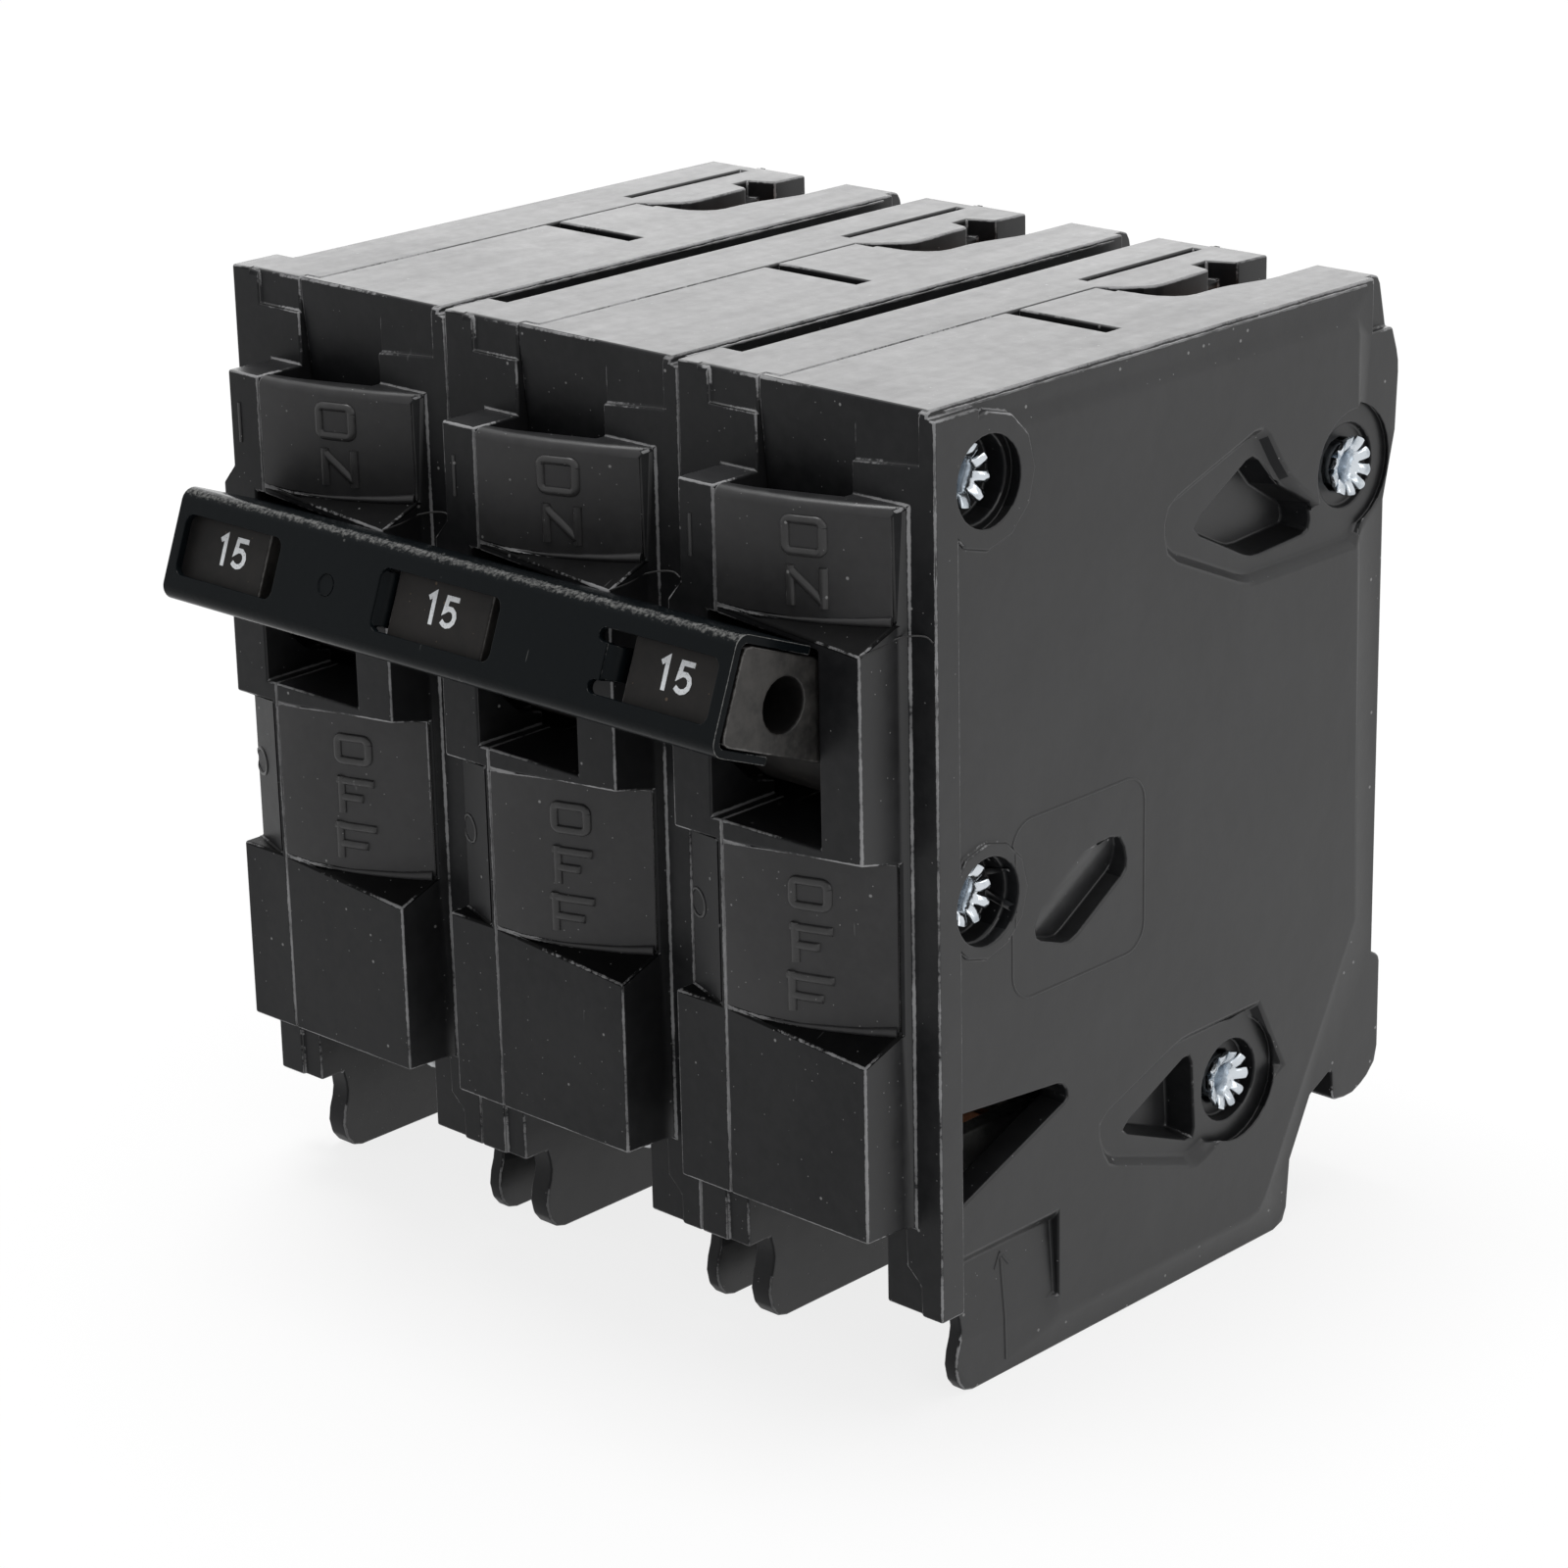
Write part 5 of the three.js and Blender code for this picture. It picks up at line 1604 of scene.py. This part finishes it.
    @staticmethod
    def _cutter(corners: Sequence[tuple[float, float]], depth: float, place: Matrix) -> bmesh.types.BMesh:
        """A solid with an outline given along the bar and up it."""
        return prism([Vector((x, z, 0)) for x, z in corners], depth, place)

    def _tab(self, end: float, side: int, relieved: bool) -> bmesh.types.BMesh:
        """A strip that leaves the sheet and bends back beside a lever.

        Args:
            end: Place of the window's end along the bar.
            side: The side to which the strip reaches.
            relieved: Whether it is a narrow strip between two relief holes.

        Returns:
            The strip.
        """
        front, arm = -self.reach, self.tab_bend - self.sheet / 2
        inset = self.relieved_inset if relieved else self.tab_inset
        centre = end + side * (inset - self.tab_bend)
        half = self.tab_half if relieved else self.window_high - self.tab_gap
        line = [(centre - side * self.tab_root, front + self.sheet / 2)]
        for step in range(9):
            turn = math.radians(step * 90 / 8)
            back = front + self.tab_bend - arm * math.cos(turn)
            line.append((centre + side * arm * math.sin(turn), back))
        line.append((centre + side * arm, front + self.tab_length))
        low = Matrix.Translation((0, 0, -half))
        return prism(ribbon(line, self.sheet), 2 * half, low)


@dataclass
class FlaredRivet:
    """A tubular rivet through all poles, split into petals at its flared end."""

    node: str
    y: float
    z: float
    sink: float
    turn: float
    petals: int = 9
    shank: float = 1.9
    head: float = 3.1
    flare: float = 2.45
    petal_length: float = 0.95
    petal_root: float = 1.2

    def build(self) -> None:
        """Spins the profile, then parts its flare into petals."""
        right = -self.sink
        left = -len(Pole) * POLE_PITCH + 0.6
        profile = [
            (left, 0.0),
            (left, self.head - 0.7),
            (left + 0.3, self.head - 0.2),
            (left + 0.75, self.head),
            (left + 1.0, self.head - 0.1),
            (left + 1.0, self.shank),
            (right - 1.0, self.shank),
            (right - 0.75, self.flare - 0.4),
            (right - 0.45, self.flare - 0.15),
            (right - 0.2, self.flare),
            (right, self.flare - 0.07),
            (right - 0.03, self.flare - 0.22),
            (right - 0.08, self.flare - 0.4),
            (right - 0.2, self.flare - 0.68),
            (right - 0.35, 1.5),
            (right - 0.8, 1.15),
            (right - 1.4, 0.95),
            (right - 2.3, 0.8),
            (right - 2.5, 0.0),
        ]
        work = bmesh.new()
        points = [work.verts.new(at(x, self.y, self.z + radius)) for x, radius in profile]
        edges = [work.edges.new(pair) for pair in zip(points, points[1:])]
        centre = at(0, self.y, self.z)
        bmesh.ops.spin(
            work,
            geom=points + edges,
            cent=centre,
            axis=(1, 0, 0),
            angle=2 * math.pi,
            steps=self.petals * 16,
            use_merge=True,
        )
        bmesh.ops.remove_doubles(work, verts=work.verts, dist=0.004 * MM)
        self._part(work, centre, at(right - self.petal_length, 0, 0).x)
        bmesh.ops.recalc_face_normals(work, faces=work.faces)
        publish(f"{self.node}_flared", work, ZINC, "case", [self.node])

    def _part(self, work: bmesh.types.BMesh, centre: Vector, start: float) -> None:
        """Draws the flare in between the petals and lifts the middle of each.

        Args:
            work: The spun rivet.
            centre: A point of its axis.
            start: Where the petals begin along X, in metres.
        """
        for vert in work.verts:
            arm = Vector((0, vert.co.y - centre.y, vert.co.z - centre.z))
            radius = arm.length / MM
            if vert.co.x < start or radius < self.petal_root:
                continue
            turn = math.atan2(arm.z, arm.y) + self.turn
            wave = math.cos(turn * self.petals + 0.5 * math.sin(turn * 2))
            gap = max(0.0, -wave - 0.45) / 0.55
            share = min(1.0, (radius - self.petal_root) / (self.flare - self.petal_root))
            pull = 1.0 - 0.36 * gap * share - 0.03 * math.sin(turn * 3 + self.z)
            vert.co.y = centre.y + arm.y * pull
            vert.co.z = centre.z + arm.z * pull
            vert.co.x -= (0.55 * gap + 0.12 * (1.0 - wave)) * share * MM


BRAID_ROUTE = (
    (-14.6, 44.35, -41.6),
    (-17.2, 41.5, -38.9),
    (-18, 32, -39.5),
    (-18, 22, -38.5),
    (-16, 15.2, -34.4),
)


@dataclass
class Works:
    """What is inside one pole."""

    pole: Pole
    coil_radius: float = 1.45
    wire: float = 0.27
    turns: int = 11
    spring_top: tuple[float, float, float] = (-9.6, 21, -29.8)
    spring_low: tuple[float, float, float] = (-9.6, 26.5, -43.4)
    hook: tuple[float, float, float] = (2.0, 0.0, 0.3)
    strands: int = 8
    strand_radius: float = 0.28
    plait_radius: float = 0.78
    plait_swell: float = 0.1
    plait_turn: float = 0.34

    def build(self) -> None:
        """Builds the metal parts, the spring and the braid."""
        word = self.pole.word
        parts: list[tuple[str, Finish, str, float]] = [
            ("line_jaw", COPPER, "case", 0.12),
            ("fixed_contact", SILVER, "case", 0.1),
            ("contact_arm", COPPER, f"{word}_arm", 0.12),
            ("trip_cradle", STEEL, "trip_bar", 0.12),
            ("arc_chute", STEEL, "case", 0.08),
            ("armature", STEEL, f"{word}_armature_plate", 0.1),
            ("magnet_yoke", STEEL, "case", 0.1),
            ("bimetal", BIMETAL, "case", 0.1),
            ("load_strap", COPPER, "case", 0.1),
            ("terminal_lug", TIN, "case", 0.2),
            ("terminal_screw", SCREW_ZINC, f"{word}_screw", 0.12),
        ]
        for kind, finish, body, width in parts:
            node = f"{word}_{kind}"
            work = copy_of(node)
            soften(work, width)
            publish(f"{node}_formed", work, finish, body, [node])
        self._spring()
        self._braid()

    def _spring(self) -> None:
        """A coiled tension spring with a hook at each end."""
        offset = self.pole.offset
        top, low = at(*self.spring_top, offset), at(*self.spring_low, offset)
        x, y, z = self.hook
        axis = (low - top).normalized()
        side = Vector((1, 0, 0))
        across = axis.cross(side)
        length = (low - top).length
        path = [top - Vector((x, y, z)) * MM, top]
        count = self.turns * 16
        for step in range(count + 1):
            share = step / count
            turn = 2 * math.pi * self.turns * share
            reach = self.coil_radius * MM * min(1.0, 8 * share, 8 * (1 - share))
            arm = side * math.cos(turn) + across * math.sin(turn)
            path.append(top + axis * length * share + arm * reach)
        path += [low, low + Vector((-x, y, z)) * MM]
        work = tube([path], self.wire)
        node = f"{self.pole.word}_toggle_spring"
        publish(f"{node}_coil", work, STEEL, "case", [node], smooth=ROUND_SHADING)

    def _braid(self) -> None:
        """A round plait of copper strands along the cord's route."""
        route = smooth_route([at(*corner, self.pole.offset) for corner in BRAID_ROUTE], 14)
        paths = []
        for strand in range(self.strands):
            hand = 1 if strand % 2 else -1
            start = 2 * math.pi * (strand // 2) / 4
            points = [self._strand_point(route, index, start, hand) for index in range(len(route))]
            paths.append(points)
        work = tube(paths, self.strand_radius, sides=2)
        node = f"{self.pole.word}_braid"
        publish(f"{node}_plait", work, BRAID, "case", [node], smooth=ROUND_SHADING)

    def _strand_point(self, route: Sequence[Vector], index: int, start: float, hand: int) -> Vector:
        """One point of a strand that winds round the route.

        Args:
            route: Middle line of the braid.
            index: Which of its points.
            start: Angle of the strand at the first point.
            hand: 1 or -1, the way the strand winds.

        Returns:
            The point in metres.
        """
        before, after = route[max(index - 1, 0)], route[min(index + 1, len(route) - 1)]
        along = (after - before).normalized()
        side = along.cross(Vector((0, 0, 1))).normalized()
        lift = side.cross(along)
        turn = start + hand * index * self.plait_turn
        swell = self.plait_swell * math.cos(index * self.plait_turn * 4)
        reach = (self.plait_radius + swell) * MM
        return route[index] + (side * math.cos(turn) + lift * math.sin(turn)) * reach


def smooth_route(corners: Sequence[Vector], steps: int) -> list[Vector]:
    """Points of a Catmull-Rom curve through the corners.

    Args:
        corners: Points that the curve passes.
        steps: Points between two corners.

    Returns:
        The curve's points.
    """
    padded = [corners[0] * 2 - corners[1], *corners, corners[-1] * 2 - corners[-2]]
    points = []
    for a, b, c, d in zip(padded, padded[1:], padded[2:], padded[3:]):
        for step in range(steps):
            t = step / steps
            square = (2 * a - 5 * b + 4 * c - d) * t**2
            cube = (3 * b - a - 3 * c + d) * t**3
            points.append(0.5 * (2 * b + (c - a) * t + square + cube))
    return [*points, corners[-1]]


@dataclass
class TripRod:
    """The rod that joins the three trip cradles."""

    rounding: float = 0.15

    def build(self) -> None:
        """Rounds the rod's ends."""
        work = copy_of("common_trip_rod")
        soften(work, self.rounding)
        publish("trip_rod_turned", work, STEEL, "trip_bar", ["common_trip_rod"])


# ---------------------------------------------------------------- studio
@dataclass
class Lamp:
    """One soft rectangular lamp."""

    place: tuple[float, float, float]
    size: float
    watts: float
    aim: tuple[float, float, float] = (0.0, 0.0, 0.04)

    def build(self) -> None:
        """Hangs the lamp and aims it."""
        light = bpy.data.lights.new("soft_lamp", "AREA")
        light.size = self.size
        light.energy = self.watts
        lamp = bpy.data.objects.new("soft_lamp", light)
        lamp.visible_camera = False
        lamp.location = self.place
        lamp.rotation_euler = (Vector(self.aim) - Vector(self.place)).to_track_quat("-Z", "Y").to_euler()
        bpy.context.scene.collection.objects.link(lamp)


@dataclass
class Studio:
    """Floor, world, lamps and camera."""

    lamps: tuple[Lamp, ...] = (
        Lamp((-0.80, 0.83, 0.50), 1.0, 5.2),
        Lamp((0.00, 0.15, 1.10), 0.8, 4.0),
        Lamp((-0.15, -0.05, 1.00), 0.35, 4.6),
        Lamp((0.90, -0.10, 0.45), 0.6, 1.4),
    )
    floor_size: float = 6.0
    floor_glow: float = 0.82
    world_light: float = 0.35
    sensor: float = 36.0
    lens: float = 102.06
    eye: tuple[float, float, float] = (201.11, -226.11, 79.50)
    azimuth: float = 43.749
    elevation: float = 19.446
    roll: float = -1.236

    def build(self) -> None:
        """Builds everything that isn't the breaker."""
        for lamp in self.lamps:
            lamp.build()
        self._floor()
        self._world()
        self._camera()
        bpy.context.scene.view_settings.view_transform = "Standard"

    @staticmethod
    def _seen_plainly(graph: Graph) -> Signal:
        """Tells rays that look from rays that light.

        Args:
            graph: The nodes to add it to.

        Returns:
            1 for a ray from the camera, a mirror or glass.
        """
        path = graph.add("ShaderNodeLightPath")
        camera = Signal(graph, path.outputs["Is Camera Ray"])
        glossy = Signal(graph, path.outputs["Is Glossy Ray"])
        through = Signal(graph, path.outputs["Is Transmission Ray"])
        return camera.most(glossy).most(through)

    def _floor(self) -> None:
        """A pale floor that keeps the breaker's shadow."""
        work = bmesh.new()
        bmesh.ops.create_grid(work, x_segments=1, y_segments=1, size=self.floor_size / 2)
        mesh = bpy.data.meshes.new("floor")
        work.to_mesh(mesh)
        work.free()
        floor = bpy.data.objects.new("floor", mesh)
        bpy.context.scene.collection.objects.link(floor)
        made = bpy.data.materials.new("pale_floor")
        made.use_nodes = True
        graph = Graph(made.node_tree)
        lit = graph.add("ShaderNodeBsdfDiffuse", None, {"Color": (0.9, 0.9, 0.9)})
        white = graph.add("ShaderNodeEmission", None, {"Color": (1.0, 1.0, 1.0), "Strength": 1.0})
        factor = self._seen_plainly(graph) * self.floor_glow
        inputs = {0: factor, 1: lit.outputs[0], 2: white.outputs[0]}
        both = graph.add("ShaderNodeMixShader", None, inputs)
        output = graph.add("ShaderNodeOutputMaterial")
        graph.tree.links.new(both.outputs[0], output.inputs["Surface"])
        mesh.materials.append(made)

    def _world(self) -> None:
        """A white world to look at, and a softer one to light with."""
        world = bpy.data.worlds.new("studio")
        bpy.context.scene.world = world
        world.use_nodes = True
        graph = Graph(world.node_tree)
        plain = (1.0, 1.0, 1.0)
        soft = graph.add("ShaderNodeBackground", None, {"Color": plain, "Strength": self.world_light})
        white = graph.add("ShaderNodeBackground", None, {"Color": plain, "Strength": 1.0})
        inputs = {0: self._seen_plainly(graph), 1: soft.outputs[0], 2: white.outputs[0]}
        both = graph.add("ShaderNodeMixShader", None, inputs)
        output = graph.add("ShaderNodeOutputWorld")
        graph.tree.links.new(both.outputs[0], output.inputs["Surface"])

    def _camera(self) -> None:
        """The camera that was solved from the photograph."""
        data = bpy.data.cameras.new("camera")
        data.lens = self.lens
        data.sensor_width = self.sensor
        data.clip_start = 0.01
        camera = bpy.data.objects.new("camera", data)
        azimuth, elevation = math.radians(self.azimuth), math.radians(self.elevation)
        level = math.cos(elevation)
        look = Vector((-math.sin(azimuth) * level, math.cos(azimuth) * level, -math.sin(elevation)))
        facing = look.to_track_quat("-Z", "Y").to_matrix().to_4x4()
        turned = facing @ Matrix.Rotation(math.radians(self.roll), 4, "Z")
        camera.matrix_world = Matrix.Translation(at(*self.eye)) @ turned
        bpy.context.scene.collection.objects.link(camera)
        bpy.context.scene.camera = camera


RIVETS = (
    FlaredRivet("upper_front_rivet", 5.87, -6.19, 2.0, 0.2),
    FlaredRivet("upper_back_rivet", 50.28, -14.69, 0.5, 0.9, petals=10),
    FlaredRivet("middle_front_rivet", 5.54, -38.27, 1.8, 0.5),
    FlaredRivet("lower_back_rivet", 36.37, -62.94, 1.2, 1.3, petals=10),
)
NUMBER_PLACES = {Pole.LEFT: -11.6, Pole.CENTRE: -12.7, Pole.RIGHT: -13.4}


def main() -> None:
    """Builds the studio and every piece of the breaker."""
    logging.basicConfig(level=logging.INFO, format="%(message)s")
    Studio().build()
    for pole in Pole:
        MouldedCase(pole).build()
        Toggle(pole, number_x=NUMBER_PLACES[pole]).build()
        Works(pole).build()
    TieBar().build()
    TripRod().build()
    for rivet in RIVETS:
        rivet.build()


if __name__ == "__main__":
    main()
